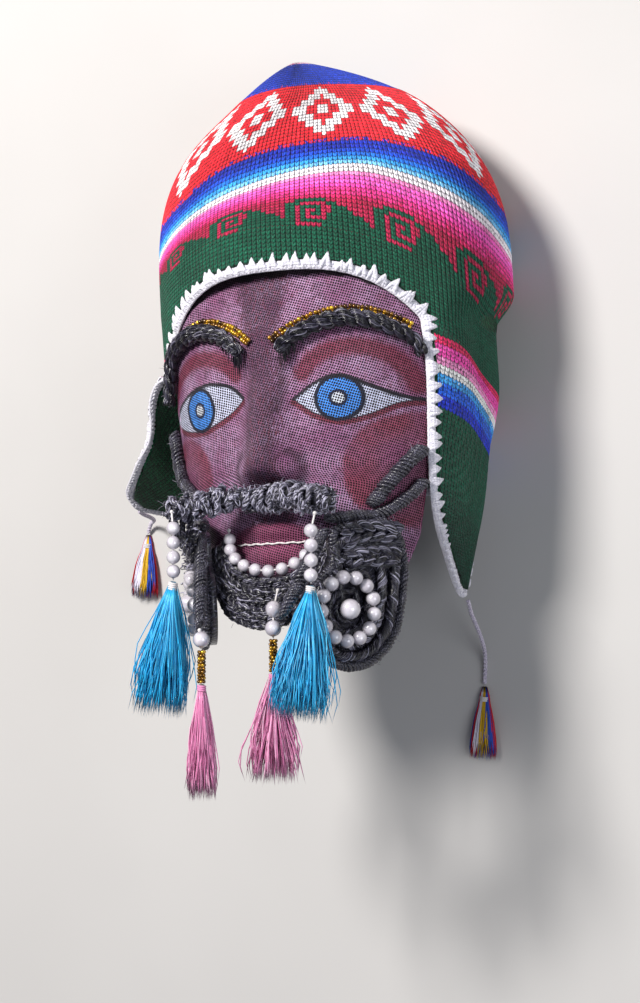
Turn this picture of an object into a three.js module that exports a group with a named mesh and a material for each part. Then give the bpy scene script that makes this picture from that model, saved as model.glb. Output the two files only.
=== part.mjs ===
// Chuta dance mask with its knitted cap, laid down face up. Millimetres, +Z up.
// Shapes are made in head coordinates: x to the viewer's right, y up the face from eye level,
// z forward from the axis of the head. The head group then lays them on the ground.

import * as THREE from 'three';
import { mergeVertices } from 'three/addons/utils/BufferGeometryUtils.js';

// Where the head lies: eye level and head axis, from the middle of the cap's flat back
const EYE_LEVEL_Y = -40;
const HEAD_AXIS_HEIGHT = 62;

// Knitted cap
const CAP_HALF_WIDTH = 88;
const CAP_SHIFT_X = -1;
const CAP_FRONT_DEPTH = 83;
const CAP_BACK_DEPTH = 97;
const CAP_AXIS_Z = -8;
const CAP_TIP_Y = 172;
const CAP_TIP_LEAN = 13;
const CAP_SHOULDER_Y = 60;
const KNIT = 3;
const FRONT_ARCH_Y = 59;
const FRONT_ARCH_DROP = 36;
const FRONT_ARCH_TURN = 4;
const FLAP_FRONT_ANGLE = 54;
const FLAP_BACK_ANGLE = 120;
const NAPE_Y = -45;
const EDGING_HALF_WIDTH = 2.2;
const EDGING_HALF_THICKNESS = 1.4;
const BACK_EASE_START = 50;
const BACK_EASE_END = 80;

// Painted wire screen: height above eye level, half width and depth of the face there
const SCREEN_STATIONS = [
  [-106, 40, 62], [-90, 53, 71], [-68, 67, 74], [-33, 76.5, 77.5], [0, 78.5, 80.5],
  [25, 77.5, 76.5], [43, 75.5, 71], [62, 71.5, 65], [88, 63, 55],
];
const SCREEN_HALF_ANGLE = 59;
const SCREEN_WALL = 1.4;
const NOSE_TIP_Y = -31;
const NOSE_RISE = 12;
const SOCKET_DEPTH = 3.5;
const LIP_RISE = 3;

// Cord, beads and tassels
const GAP = 0.35;
const BROW_RADIUS = 3.6;
const BROW_BEAD_RADIUS = 1.4;
const SIDE_CORD_RADIUS = 2.9;
const THREAD_RADIUS = 0.7;
const PEARL_RADIUS = 3.4;
const SMALL_PEARL_RADIUS = 3.2;
const DROP_PEARL_RADIUS = 3.8;
const STUD_RADIUS = 4.8;
const MOUSTACHE_RADIUS = 6.6;
const HANG = new THREE.Vector3(-0.077, -0.997, -0.02).normalize();

// Beard curls: flat coils of cord that stand forward from the jaw and lean together
const CURL_HINGE = { left: [60, 42], right: [58, 42] };
const CURL_LEAN = { left: THREE.MathUtils.degToRad(33), right: THREE.MathUtils.degToRad(30) };
const CURL_HALF_THICKNESS = 2.6;
const CURL_COILS = 3;
const CURL_COIL_RISE = 1.3;
const CURL_EYE = { left: [48, -94], right: [48, -99] };
const CURL_OUTLINE = [
  [17.5, -60.5], [31, -60], [50, -62.5], [52, -78], [65, -88], [67, -108],
  [55, -124], [36, -126], [20, -115], [13, -97], [10.5, -77],
];
const LEFT_CURL_HEIGHT = 0.82;
const PEARLS_IN_RING = { left: 11, right: 13 };
const PEARL_RING_RADIUS = { left: 12.3, right: 14.6 };

const COLOURS = {
  screen: 0x8d5068, knit: 0x0f6a3c, edging: 0xf0eef0, darkCord: 0x34343c, gold: 0xa87c12,
  pearl: 0xe9e4e2, turquoise: 0x1ea3c8, pink: 0xd77ba6, tie: 0xe6e2ea, mixed: 0xc83048,
};

const mask = new THREE.Group();
mask.name = 'chuta_mask';
const head = new THREE.Group();
head.position.set(0, EYE_LEVEL_Y, HEAD_AXIS_HEIGHT);
mask.add(head);

const { clamp, degToRad, lerp, smoothstep } = THREE.MathUtils;

function vec(x, y, z) {
  return new THREE.Vector3(x, y, z);
}

function addPiece(name, geometry, colour, roughness = 0.9, metalness = 0) {
  const bare = geometry.clone();
  bare.deleteAttribute('normal');
  bare.deleteAttribute('uv');
  const closed = mergeVertices(bare, 1e-4);
  closed.computeVertexNormals();
  const material = new THREE.MeshStandardMaterial({ color: colour, roughness, metalness });
  const mesh = new THREE.Mesh(closed, material);
  mesh.name = name;
  head.add(mesh);
  return mesh;
}

function geometryFrom(points, faces) {
  const geometry = new THREE.BufferGeometry().setFromPoints(points);
  geometry.setIndex(faces.flat());
  return geometry;
}

// Normals of a sheet of triangles at its points
function sheetNormals(points, faces) {
  const geometry = geometryFrom(points, faces);
  geometry.computeVertexNormals();
  const normal = geometry.getAttribute('normal');
  return points.map((_, i) => new THREE.Vector3().fromBufferAttribute(normal, i));
}

// The edges that only one triangle uses, chained into loops of point numbers
function sheetEdges(faces) {
  const next = new Map();
  const used = new Set();
  for (const [a, b, c] of faces) {
    for (const [from, to] of [[a, b], [b, c], [c, a]]) {
      used.add(`${from}-${to}`);
    }
  }
  for (const [a, b, c] of faces) {
    for (const [from, to] of [[a, b], [b, c], [c, a]]) {
      if (!used.has(`${to}-${from}`)) {
        next.set(from, to);
      }
    }
  }
  const start = next.keys().next().value;
  const loop = [start];
  for (let i = next.get(start); i !== start; i = next.get(i)) {
    loop.push(i);
  }
  return loop;
}

// Give a sheet its wall, inward from the points
function solidFromSheet(points, faces, wall) {
  const normals = sheetNormals(points, faces);
  const count = points.length;
  const inner = points.map((point, i) => point.clone().addScaledVector(normals[i], -wall));
  const loop = sheetEdges(faces);
  const solid = [...faces];
  for (const [a, b, c] of faces) {
    solid.push([a + count, c + count, b + count]);
  }
  loop.forEach((from, k) => {
    const to = loop[(k + 1) % loop.length];
    solid.push([from, from + count, to + count], [from, to + count, to]);
  });
  return { geometry: geometryFrom([...points, ...inner], solid), normals, loop };
}

// A grid of points as triangles; where two rows share a point, the flat triangle is left out
function gridFaces(rows) {
  const faces = [];
  for (let r = 0; r + 1 < rows.length; r += 1) {
    for (let c = 0; c + 1 < rows[r].length; c += 1) {
      const [a, b] = [rows[r][c], rows[r][c + 1]];
      const [d, e] = [rows[r + 1][c], rows[r + 1][c + 1]];
      if (a !== b) {
        faces.push([a, d, b]);
      }
      if (d !== e) {
        faces.push([b, d, e]);
      }
    }
  }
  return faces;
}

// A round body along a path: each station has its place and its radius
function sweep(stations, sides, closed = false) {
  const points = [];
  const faces = [];
  const count = stations.length;
  let across = null;
  stations.forEach((station, i) => {
    const before = stations[closed ? (i - 1 + count) % count : Math.max(i - 1, 0)].at;
    const after = stations[closed ? (i + 1) % count : Math.min(i + 1, count - 1)].at;
    const along = after.clone().sub(before).normalize();
    if (!across) {
      across = Math.abs(along.z) < 0.9 ? vec(0, 0, 1) : vec(1, 0, 0);
    }
    across.addScaledVector(along, -across.dot(along)).normalize();
    const up = along.clone().cross(across);
    for (let k = 0; k < sides; k += 1) {
      const turn = (2 * Math.PI * k) / sides;
      const flute = 1 + (station.flute ?? 0) * (k % 2 ? -1 : 1);
      const reach = station.radius * flute;
      points.push(station.at.clone()
        .addScaledVector(across, Math.cos(turn) * reach)
        .addScaledVector(up, Math.sin(turn) * reach));
    }
  });
  const rings = closed ? count : count - 1;
  for (let i = 0; i < rings; i += 1) {
    const j = (i + 1) % count;
    for (let k = 0; k < sides; k += 1) {
      const m = (k + 1) % sides;
      faces.push([i * sides + k, i * sides + m, j * sides + k]);
      faces.push([i * sides + m, j * sides + m, j * sides + k]);
    }
  }
  if (!closed) {
    const last = (count - 1) * sides;
    for (let k = 1; k + 1 < sides; k += 1) {
      faces.push([0, k + 1, k]);
      faces.push([last, last + k, last + k + 1]);
    }
  }
  return geometryFrom(points, faces);
}

// Stations along a smooth curve, with a radius that may change from start (0) to end (1)
function along(points, count, radiusAt) {
  const curve = new THREE.CatmullRomCurve3(points);
  return Array.from({ length: count + 1 }, (_, i) => {
    const t = i / count;
    const radius = typeof radiusAt === 'function' ? radiusAt(t) : radiusAt;
    return { at: curve.getPointAt(t), radius };
  });
}

// Beads on a thread, fused: places and one radius. Without ends the string closes on itself
function beadString(places, radius, ends = null, sides = 5) {
  const count = places.length;
  const stations = ends ? [{ at: ends[0], radius: THREAD_RADIUS }] : [];
  places.forEach((place, i) => {
    const before = places[ends ? i - 1 : (i - 1 + count) % count] ?? ends[0];
    const after = places[ends ? i + 1 : (i + 1) % count] ?? ends[1];
    const axis = after.clone().sub(before).normalize();
    for (const side of [-0.55, 0.55]) {
      stations.push({ at: place.clone().addScaledVector(axis, side * radius), radius: 0.86 * radius });
    }
    if (i + 1 < count || !ends) {
      stations.push({ at: place.clone().lerp(after, 0.5), radius: 0.35 * radius });
    }
  });
  if (ends) {
    stations.push({ at: ends[1], radius: THREAD_RADIUS });
  }
  return sweep(stations, sides, !ends);
}

function mirrored(point, side) {
  return vec(point.x * side, point.y, point.z);
}

// Face of wire screen: its half width and depth at a height, and its relief
function screenSection(y) {
  const rows = SCREEN_STATIONS;
  const top = rows.length - 1;
  const i = clamp(rows.findIndex((row) => row[0] > y) - 1, 0, top - 1);
  const row = y >= rows[top][0] ? top - 1 : i;
  const t = clamp((y - rows[row][0]) / (rows[row + 1][0] - rows[row][0]), 0, 1);
  return [lerp(rows[row][1], rows[row + 1][1], t), lerp(rows[row][2], rows[row + 1][2], t)];
}

function bump(distance, reach) {
  const t = clamp(1 - Math.abs(distance) / reach, 0, 1);
  return t * t * (3 - 2 * t);
}

function screenRelief(x, y) {
  const bridge = smoothstep(-y, -26, -NOSE_TIP_Y);
  const under = 1 - smoothstep(-y, -NOSE_TIP_Y + 2, -NOSE_TIP_Y + 12);
  const noseWidth = lerp(9, 21, clamp((20 - y) / 52, 0, 1));
  const nose = NOSE_RISE * bridge * under * bump(x, noseWidth);
  const socket = -SOCKET_DEPTH * bump(Math.abs(x) - 17, 15) * bump(y - 1, 20);
  const brow = 3 * bump(x, 26) * bump(y - 25, 14);
  const lips = LIP_RISE * bump(x, 30) * (bump(y + 62, 7) + bump(y + 74, 8));
  return nose + socket + brow + lips;
}

// A place on the screen, by distance x from the middle and height y, lifted off it by lift
function onScreen(x, y, lift = 0) {
  const place = (px, py) => {
    const [width, depth] = screenSection(py);
    const across = clamp(px / width, -0.999, 0.999);
    return vec(px, py, depth * Math.sqrt(1 - across * across) + screenRelief(px, py));
  };
  const step = 1.5;
  const right = place(x + step, y).sub(place(x - step, y));
  const up = place(x, y + step).sub(place(x, y - step));
  return place(x, y).addScaledVector(right.cross(up).normalize(), lift);
}

function faceScreen() {
  const columns = 22;
  const rows = 20;
  const points = [];
  const grid = [];
  for (let r = 0; r <= rows; r += 1) {
    const y = lerp(SCREEN_STATIONS.at(-1)[0], SCREEN_STATIONS[0][0], r / rows);
    const [width, depth] = screenSection(y);
    const line = [];
    for (let c = 0; c <= columns; c += 1) {
      const u = (2 * c) / columns - 1;
      const angle = degToRad(SCREEN_HALF_ANGLE) * Math.sign(u) * Math.abs(u) ** 1.2;
      const x = width * Math.sin(angle);
      line.push(points.length);
      points.push(vec(x, y, depth * Math.cos(angle) + screenRelief(x, y)));
    }
    grid.push(line);
  }
  return solidFromSheet(points, gridFaces(grid), SCREEN_WALL).geometry;
}

// Knitted cap: its share of the full width and depth at a height; below the skull it draws in
// behind the ears, and its back settles flat
function capScale(angle, y) {
  const rise = clamp((y - CAP_SHOULDER_Y) / (CAP_TIP_Y - CAP_SHOULDER_Y), 0, 1);
  const crown = (1 - rise ** 2.7) ** 0.87;
  const turn = Math.abs(angle);
  const behindEar = smoothstep(turn, 56, 84) * (1 - smoothstep(turn, 130, 165));
  const upper = behindEar * smoothstep(-y, -48, -30);
  const lower = behindEar * smoothstep(-y, -5, 60);
  return [crown * (1 - 0.1 * upper - 0.12 * lower), crown * (1 - 0.2 * upper - 0.3 * lower)];
}

function settle(z) {
  if (z > -BACK_EASE_START) {
    return z;
  }
  const t = clamp((-z - BACK_EASE_START) / (BACK_EASE_END - BACK_EASE_START), 0, 1);
  const drop = HEAD_AXIS_HEIGHT - BACK_EASE_START;
  const run = BACK_EASE_END - BACK_EASE_START;
  return -BACK_EASE_START - drop * (3 * t * t - 2 * t ** 3) - run * (t ** 3 - 2 * t * t + t);
}

function capPoint(angle, y) {
  const turn = degToRad(angle);
  const [wide, deep] = capScale(angle, y);
  const depth = Math.cos(turn) > 0 ? CAP_FRONT_DEPTH : CAP_BACK_DEPTH;
  const lean = CAP_TIP_LEAN * clamp((y - 142) / (CAP_TIP_Y - 142), 0, 1) ** 2;
  const x = CAP_SHIFT_X + CAP_HALF_WIDTH * wide * Math.sin(turn) - lean;
  return vec(x, y, settle(CAP_AXIS_Z + depth * deep * Math.cos(turn)));
}

// Height of the knit's lower edge around the head; the flaps hang below it
function capEdge(angle) {
  const turn = Math.abs(angle);
  const frontTurn = Math.sign(angle) * Math.min(turn, FLAP_FRONT_ANGLE) - FRONT_ARCH_TURN;
  const drop = FRONT_ARCH_DROP * (Math.abs(frontTurn) / FLAP_FRONT_ANGLE) ** 2.8;
  const arch = FRONT_ARCH_Y + 2 * EDGING_HALF_WIDTH - drop;
  const back = (turn - FLAP_FRONT_ANGLE) / (FLAP_BACK_ANGLE - FLAP_FRONT_ANGLE);
  return lerp(arch, NAPE_Y, clamp(back, 0, 1));
}

// Front and back edges of the two ear flaps: the left one is flung out, the right one hangs in
const FLAPS = {
  left: {
    front: [vec(-88, 3, 30), vec(-95, -16, 24.5), vec(-101, -22, 20), vec(-113, -33, 9)],
    back: [vec(-76, -49, -41), vec(-94, -50, -38), vec(-110, -49, -28)],
    tip: [vec(-121, -40, -3), vec(-121.5, -45, -11)],
    bow: 3,
  },
  right: {
    front: [vec(71.3, 3, 40.3), vec(69.6, -25, 40.3), vec(66.8, -53, 35), vec(59.5, -80, 3)],
    back: [vec(58, -62, -37), vec(54, -78, -37)],
    tip: [vec(53.5, -96, -21), vec(52, -98, -29)],
    bow: 4,
  },
};
const FRONT_COLUMNS = 12;
const FLAP_COLUMNS = 7;
const BACK_COLUMNS = 11;
const FLAP_ROWS = 7;

function knitCap() {
  const angles = [];
  const band = (from, to, count) => {
    for (let i = 0; i < count; i += 1) {
      angles.push(lerp(from, to, i / count));
    }
  };
  band(-FLAP_FRONT_ANGLE, FLAP_FRONT_ANGLE, FRONT_COLUMNS);
  band(FLAP_FRONT_ANGLE, FLAP_BACK_ANGLE, FLAP_COLUMNS);
  band(FLAP_BACK_ANGLE, 360 - FLAP_BACK_ANGLE, BACK_COLUMNS);
  band(360 - FLAP_BACK_ANGLE, 360 - FLAP_FRONT_ANGLE, FLAP_COLUMNS);
  const signed = angles.map((angle) => (angle > 180 ? angle - 360 : angle));
  const rows = 11;
  const points = [capPoint(0, CAP_TIP_Y)];
  const grid = [Array(signed.length + 1).fill(0)];
  for (let r = 1; r <= rows; r += 1) {
    const fall = Math.cos((r / rows) * (Math.PI / 2));
    const line = signed.map((angle) => {
      const edge = capEdge(angle);
      points.push(capPoint(angle, edge + (CAP_TIP_Y - edge) * fall));
      return points.length - 1;
    });
    grid.push([...line, line[0]]);
  }
  const faces = gridFaces(grid);
  const rim = grid.at(-1);
  const rightTop = rim.slice(FRONT_COLUMNS, FRONT_COLUMNS + FLAP_COLUMNS + 1);
  const leftTop = rim.slice(-FLAP_COLUMNS - 1);
  faces.push(...flapFaces(points, rightTop, FLAPS.right, false));
  faces.push(...flapFaces(points, leftTop, FLAPS.left, true));
  return { points, faces };
}

// Hang a flap from a run of points of the cap's rim
function flapFaces(points, top, flap, rimEndsInFront) {
  const first = points[top[0]];
  const last = points[top.at(-1)];
  const [frontTop, backTop] = rimEndsInFront ? [last, first] : [first, last];
  const front = new THREE.CatmullRomCurve3([frontTop, ...flap.front, flap.tip[0]]);
  const back = new THREE.CatmullRomCurve3([backTop, ...flap.back, flap.tip[1]]);
  const out = vec(Math.sign(flap.tip[0].x), 0, 0);
  const grid = [top];
  for (let r = 1; r <= FLAP_ROWS; r += 1) {
    const t = r / FLAP_ROWS;
    const left = front.getPointAt(t);
    const right = back.getPointAt(t);
    const line = top.map((number, c) => {
      const w = rimEndsInFront ? 1 - c / FLAP_COLUMNS : c / FLAP_COLUMNS;
      const straightTop = frontTop.clone().lerp(backTop, w);
      const rimBow = points[number].clone().sub(straightTop).multiplyScalar((1 - t) ** 2);
      const bow = 4 * w * (1 - w) * flap.bow * Math.sin(Math.PI * t) * 0.9;
      points.push(left.clone().lerp(right, w).add(rimBow).addScaledVector(out, bow));
      return points.length - 1;
    });
    grid.push(line);
  }
  return gridFaces(grid);
}

// White edging: an oval strand that follows the knit's edge all the way round
function capEdging(points, normals, loop) {
  const sides = 5;
  const count = loop.length;
  const ring = [];
  const faces = [];
  loop.forEach((number, k) => {
    const here = points[number];
    const before = here.clone().sub(points[loop[(k - 1 + count) % count]]).normalize();
    const after = points[loop[(k + 1) % count]].clone().sub(here).normalize();
    const normal = normals[number];
    const outward = before.clone().add(after).cross(normal).normalize();
    const miter = 1 / Math.max(Math.sqrt((1 + before.dot(after)) / 2), 0.75);
    const middle = here.clone()
      .addScaledVector(normal, -KNIT / 2)
      .addScaledVector(outward, (GAP + EDGING_HALF_WIDTH) * miter);
    for (let i = 0; i < sides; i += 1) {
      const turn = (2 * Math.PI * i) / sides;
      ring.push(middle.clone()
        .addScaledVector(outward, Math.cos(turn) * EDGING_HALF_WIDTH * miter)
        .addScaledVector(normal, Math.sin(turn) * EDGING_HALF_THICKNESS));
    }
  });
  for (let k = 0; k < count; k += 1) {
    const m = (k + 1) % count;
    for (let i = 0; i < sides; i += 1) {
      const j = (i + 1) % sides;
      faces.push([k * sides + i, m * sides + i, k * sides + j]);
      faces.push([k * sides + j, m * sides + i, m * sides + j]);
    }
  }
  return geometryFrom(ring, faces);
}

// Brow line: height of the gold bead row over the eye at a distance from the middle
function browLine(x) {
  const rise = x < 38 ? 13 * ((38 - x) / 33) ** 2 : 12 * ((x - 38) / 28) ** 1.8;
  return 38.3 - rise;
}

const BROW_SPAN = [5.5, 57];
const BROW_TAILS = { left: [[60.6, 23], [63.6, 13], [65.2, 2]], right: [[62, 21.5], [64, 15.5]] };
const BEAD_TAILS = { left: [], right: [[61.3, 29]] };

function browPath(side, below, lift, steps) {
  return Array.from({ length: steps + 1 }, (_, i) => {
    const x = lerp(...BROW_SPAN, i / steps);
    const slope = (browLine(x + 0.5) - browLine(x - 0.5));
    const down = vec(slope, -1, 0).normalize().multiplyScalar(below);
    return mirrored(onScreen(x + down.x, browLine(x) + down.y, lift), side);
  });
}

function brow(name, side) {
  const below = BROW_RADIUS + BROW_BEAD_RADIUS + GAP;
  const lift = BROW_RADIUS + 2 * GAP;
  const path = browPath(side, below, lift, 6);
  path.push(...BROW_TAILS[name].map(([x, y]) => mirrored(onScreen(x, y, lift), side)));
  const radiusAt = (t) => BROW_RADIUS * (0.72 + 0.28 * Math.sin(Math.PI * clamp(t * 1.1, 0, 1)));
  return sweep(along(path, 12, radiusAt), 6);
}

function browBeads(name, side) {
  const lift = BROW_BEAD_RADIUS + GAP;
  const path = browPath(side, 0, lift, 6);
  path.push(...BEAD_TAILS[name].map(([x, y]) => mirrored(onScreen(x, y, lift), side)));
  const ripple = (t) => BROW_BEAD_RADIUS * (0.93 + 0.07 * Math.cos(t * 14 * Math.PI));
  return sweep(along(path, 14, ripple), 5);
}

// A place on a beard curl: distance forward of its hinge, height, and distance off its middle plane
function onCurl(forward, y, off, side) {
  const name = side < 0 ? 'left' : 'right';
  const [x, z] = CURL_HINGE[name];
  const [sin, cos] = [Math.sin(CURL_LEAN[name]), Math.cos(CURL_LEAN[name])];
  return vec((x - forward * sin + off * cos) * side, y, z + forward * cos + off * sin);
}

// The curls' common outline; the left one is lower
function curlOutline(name) {
  const top = CURL_OUTLINE[0][1];
  const share = name === 'left' ? LEFT_CURL_HEIGHT : 1;
  const rim = CURL_OUTLINE.map(([s, y]) => vec(s, top + (y - top) * share, 0));
  return new THREE.CatmullRomCurve3(rim, true);
}

// Beard curl: cord coiled flat round its eye, each turn standing up as a ridge
function beardCurl(name, side) {
  const eye = CURL_EYE[name];
  const around = 24;
  const rings = 2 * CURL_COILS;
  const rim = curlOutline(name).getSpacedPoints(around).slice(0, around);
  const points = [onCurl(...eye, CURL_HALF_THICKNESS, side)];
  const faces = [];
  const turnOver = side < 0 ? (face) => face : ([a, b, c]) => [a, c, b];
  for (let k = 1; k <= rings; k += 1) {
    const reach = k / rings;
    const rise = CURL_HALF_THICKNESS + (k % 2 ? CURL_COIL_RISE : 0) - (k === rings ? 0.8 : 0);
    rim.forEach((edge) => {
      points.push(onCurl(lerp(eye[0], edge.x, reach), lerp(eye[1], edge.y, reach), rise, side));
    });
  }
  const backStart = points.length;
  rim.forEach((edge) => points.push(onCurl(edge.x, edge.y, -CURL_HALF_THICKNESS, side)));
  const backEye = points.push(onCurl(...eye, -CURL_HALF_THICKNESS, side)) - 1;
  for (let i = 0; i < around; i += 1) {
    const j = (i + 1) % around;
    faces.push([0, 1 + j, 1 + i]);
    for (let k = 0; k < rings; k += 1) {
      const a = 1 + k * around;
      const b = k + 1 < rings ? a + around : backStart;
      faces.push([a + i, a + j, b + i], [a + j, b + j, b + i]);
    }
    faces.push([backStart + i, backStart + j, backEye]);
  }
  return geometryFrom(points, faces.map(turnOver));
}

function curlPearls(name, side) {
  const off = CURL_HALF_THICKNESS + CURL_COIL_RISE + GAP + PEARL_RADIUS;
  const [forward, y] = CURL_EYE[name];
  const reach = PEARL_RING_RADIUS[name];
  const places = Array.from({ length: PEARLS_IN_RING[name] }, (_, i) => {
    const turn = (2 * Math.PI * i) / PEARLS_IN_RING[name];
    return onCurl(forward + reach * Math.cos(turn), y + reach * Math.sin(turn), off, side);
  });
  return beadString(places, PEARL_RADIUS);
}

function curlStud(name, side) {
  const off = CURL_HALF_THICKNESS + CURL_COIL_RISE + GAP + STUD_RADIUS;
  const centre = onCurl(...CURL_EYE[name], off, side);
  return new THREE.SphereGeometry(STUD_RADIUS, 8, 6).translate(centre.x, centre.y, centre.z);
}

// Cords from the cap's edge across the cheeks to the beard
const CHEEK_CORDS = {
  left: [[66.5, -11], [59.5, -34], [50.5, -41], [42.5, -46.5]],
  right: [[61.5, -29], [56.4, -34.3], [48.5, -42.5], [42, -48.5]],
};

function cheekCord(name, side) {
  const lift = SIDE_CORD_RADIUS + GAP;
  const path = CHEEK_CORDS[name].map(([x, y]) => mirrored(onScreen(x, y, lift), side));
  return sweep(along(path, 8, SIDE_CORD_RADIUS), 6);
}

function jawCord(side) {
  const lift = SIDE_CORD_RADIUS + GAP;
  const above = SIDE_CORD_RADIUS + GAP + 0.9;
  const path = [
    ...[[61, -44.5], [54.5, -51]].map(([x, y]) => mirrored(onScreen(x, y, lift + 0.3), side)),
    ...[[23, -59.6], [37, -60], [51.5, -62]].map(([s, y]) => onCurl(s, y + above, 0, side)),
  ];
  return sweep(along(path, 9, (t) => SIDE_CORD_RADIUS * (1 - 0.15 * t)), 6);
}

// Moustache: a thick wound roll, held at the lip and standing forward at its ends
const MOUSTACHE_HALF = [[0, -47.5, 84], [13, -46, 88], [28, -48, 95], [42, -50, 103]];

function moustache() {
  const half = MOUSTACHE_HALF.map(([x, y, z]) => vec(x, y, z));
  const path = [...half.slice(1).reverse().map((point) => mirrored(point, -1)), ...half];
  const lumps = (t) => {
    const end = clamp(Math.min(t, 1 - t) * 12, 0, 1);
    return MOUSTACHE_RADIUS * (0.93 + 0.07 * Math.cos(t * 22 * Math.PI)) * (0.72 + 0.28 * end);
  };
  return sweep(along(path, 22, lumps), 8);
}

// Chin beard: rows of cord in a crescent under the lower lip
const CHIN_TOP = { reach: [26, 19, 7.5], at: [-1, -65, 74.5] };
const CHIN_BOTTOM = { reach: [32, 33, 19], at: [-1, -74, 72] };
const LIP_PEARLS = { reach: [22.6, 15.4, 6], at: [-1.5, -65, 76], count: 11 };

function crescent({ reach, at }, turn) {
  return vec(
    at[0] + reach[0] * Math.sin(turn),
    at[1] - reach[1] * Math.cos(turn),
    at[2] + reach[2] * Math.cos(turn));
}

function chinBeard() {
  const columns = 12;
  const rows = 6;
  const points = [];
  const grid = [];
  for (let r = 0; r <= rows; r += 1) {
    const line = [];
    for (let c = 0; c <= columns; c += 1) {
      const turn = ((2 * c) / columns - 1) * (Math.PI / 2);
      const bulge = 4 * Math.sin((Math.PI * r) / rows) + (r % 2 ? CURL_COIL_RISE : 0);
      line.push(points.length);
      points.push(crescent(CHIN_TOP, turn).lerp(crescent(CHIN_BOTTOM, turn), r / rows)
        .add(vec(Math.sin(turn) * 0.4, -0.3 * Math.cos(turn), 0.9).multiplyScalar(bulge)));
    }
    grid.push(line);
  }
  return solidFromSheet(points, gridFaces(grid), 2 * CURL_HALF_THICKNESS).geometry;
}

function lipPearls() {
  const places = Array.from({ length: LIP_PEARLS.count }, (_, i) => {
    const turn = lerp(-0.5, 0.5, i / (LIP_PEARLS.count - 1)) * Math.PI;
    return crescent(LIP_PEARLS, turn);
  });
  const up = vec(0, PEARL_RADIUS + 1, 0);
  return beadString(places, PEARL_RADIUS * 0.9, [places[0].clone().add(up), places.at(-1).clone().add(up)]);
}

// Bound spindles at the front of the curls
const SPINDLES = {
  left: [vec(-32, -62, 88.4), vec(-20.7, -103.5, 116)],
  right: [vec(32, -62, 88.4), vec(20.5, -100, 114)],
};

function spindle(name) {
  const radiusAt = (t) => 1.9 + 1.2 * Math.sin(Math.PI * t) ** 0.7;
  return sweep(along(SPINDLES[name], 6, radiusAt), 6);
}

// A tassel: bound neck, then threads that spread, with a fluted outline
function tassel(top, direction, length, spread, sides = 10) {
  const profile = [
    [0, 1.2], [0.03, 2.4], [0.07, 1.8], [0.22, 0.38 * spread], [0.5, 0.72 * spread],
    [0.82, 0.95 * spread], [1, spread],
  ];
  const way = direction.clone().normalize();
  return sweep(profile.map(([t, radius]) => ({
    at: top.clone().addScaledVector(way, t * length),
    radius: Math.max(radius, 1.2),
    flute: t > 0.1 ? 0.06 : 0,
  })), sides);
}

const MOUSTACHE_DROP = { left: vec(-35.5, -58, 108.5), right: vec(34.5, -62.5, 108.5) };
const MOUSTACHE_DROP_PEARLS = 4;
const DROP_PITCH = 6.6;
const BLUE_TASSEL = {
  left: { way: vec(-0.2, -1, 0), length: 63, spread: 12.5 },
  right: { way: vec(-0.13, -1, 0.12), length: 61, spread: 13.5 },
};

function moustacheDrop(name, side) {
  const places = Array.from({ length: MOUSTACHE_DROP_PEARLS }, (_, i) => (
    MOUSTACHE_DROP[name].clone().addScaledVector(HANG, i * DROP_PITCH)));
  const start = MOUSTACHE_DROP[name].clone().add(vec(1.5 * side, 8, -2.2));
  const end = places.at(-1).clone().addScaledVector(HANG, SMALL_PEARL_RADIUS + 1);
  return { geometry: beadString(places, SMALL_PEARL_RADIUS, [start, end]), end };
}

const LOW_DROPS = {
  left: { thread: vec(-20.6, -104.3, 116.2), pearls: [vec(-20, -108.7, 116)], tube: 15, spread: 7, fall: 53 },
  middle: {
    thread: vec(9.8, -88.5, 95.5), pearls: [vec(10.2, -97, 102), vec(10, -105.6, 103)],
    tube: 15, spread: 11.5, fall: 50,
  },
};

function lowDrop(name) {
  const { thread, pearls, tube, spread, fall } = LOW_DROPS[name];
  const last = pearls.at(-1);
  const end = last.clone().addScaledVector(HANG, DROP_PEARL_RADIUS + 0.8);
  const tubeStart = end.clone().addScaledVector(HANG, GAP);
  const tubeEnd = tubeStart.clone().addScaledVector(HANG, tube);
  const tubePlaces = along([tubeStart, tubeEnd], 4, 1.9);
  addPiece(`drop_pearls_${name}`, beadString(pearls, DROP_PEARL_RADIUS, [thread, end]), COLOURS.pearl, 0.25);
  addPiece(`drop_gold_${name}`, sweep(tubePlaces, 6), COLOURS.gold, 0.3, 0.6);
  const top = tubeEnd.clone().addScaledVector(HANG, GAP);
  addPiece(`pink_tassel_${name}`, tassel(top, HANG, fall, spread), COLOURS.pink);
}

// Ties of the ear flaps: they fall to the ground beside the head and lie there
const TIE_DIAMETER = 2.4;
const TIE_SIDES = 8;
const TASSEL_PRESS = 0.5;
const TIES = {
  left: {
    path: [
      vec(-125.6, -48.6, -13), vec(-127.5, -50.5, -21), vec(-130, -52, -31), vec(-133.5, -53.5, -41),
      vec(-138.5, -54.5, -50), vec(-144.5, -56, -57), vec(-148.6, -61, -60.4),
    ],
    way: vec(-0.1, -1, 0), length: 36, spread: 9,
  },
  right: {
    path: [
      vec(51.6, -103.3, -31.3), vec(51, -110, -36), vec(50.4, -117, -43.5), vec(49.6, -125, -52),
      vec(48.6, -133, -58.2), vec(47.4, -141, -60.5), vec(46.4, -149, -60.6),
    ],
    way: vec(-0.06, -1, 0), length: 38, spread: 8,
  },
};

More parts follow.
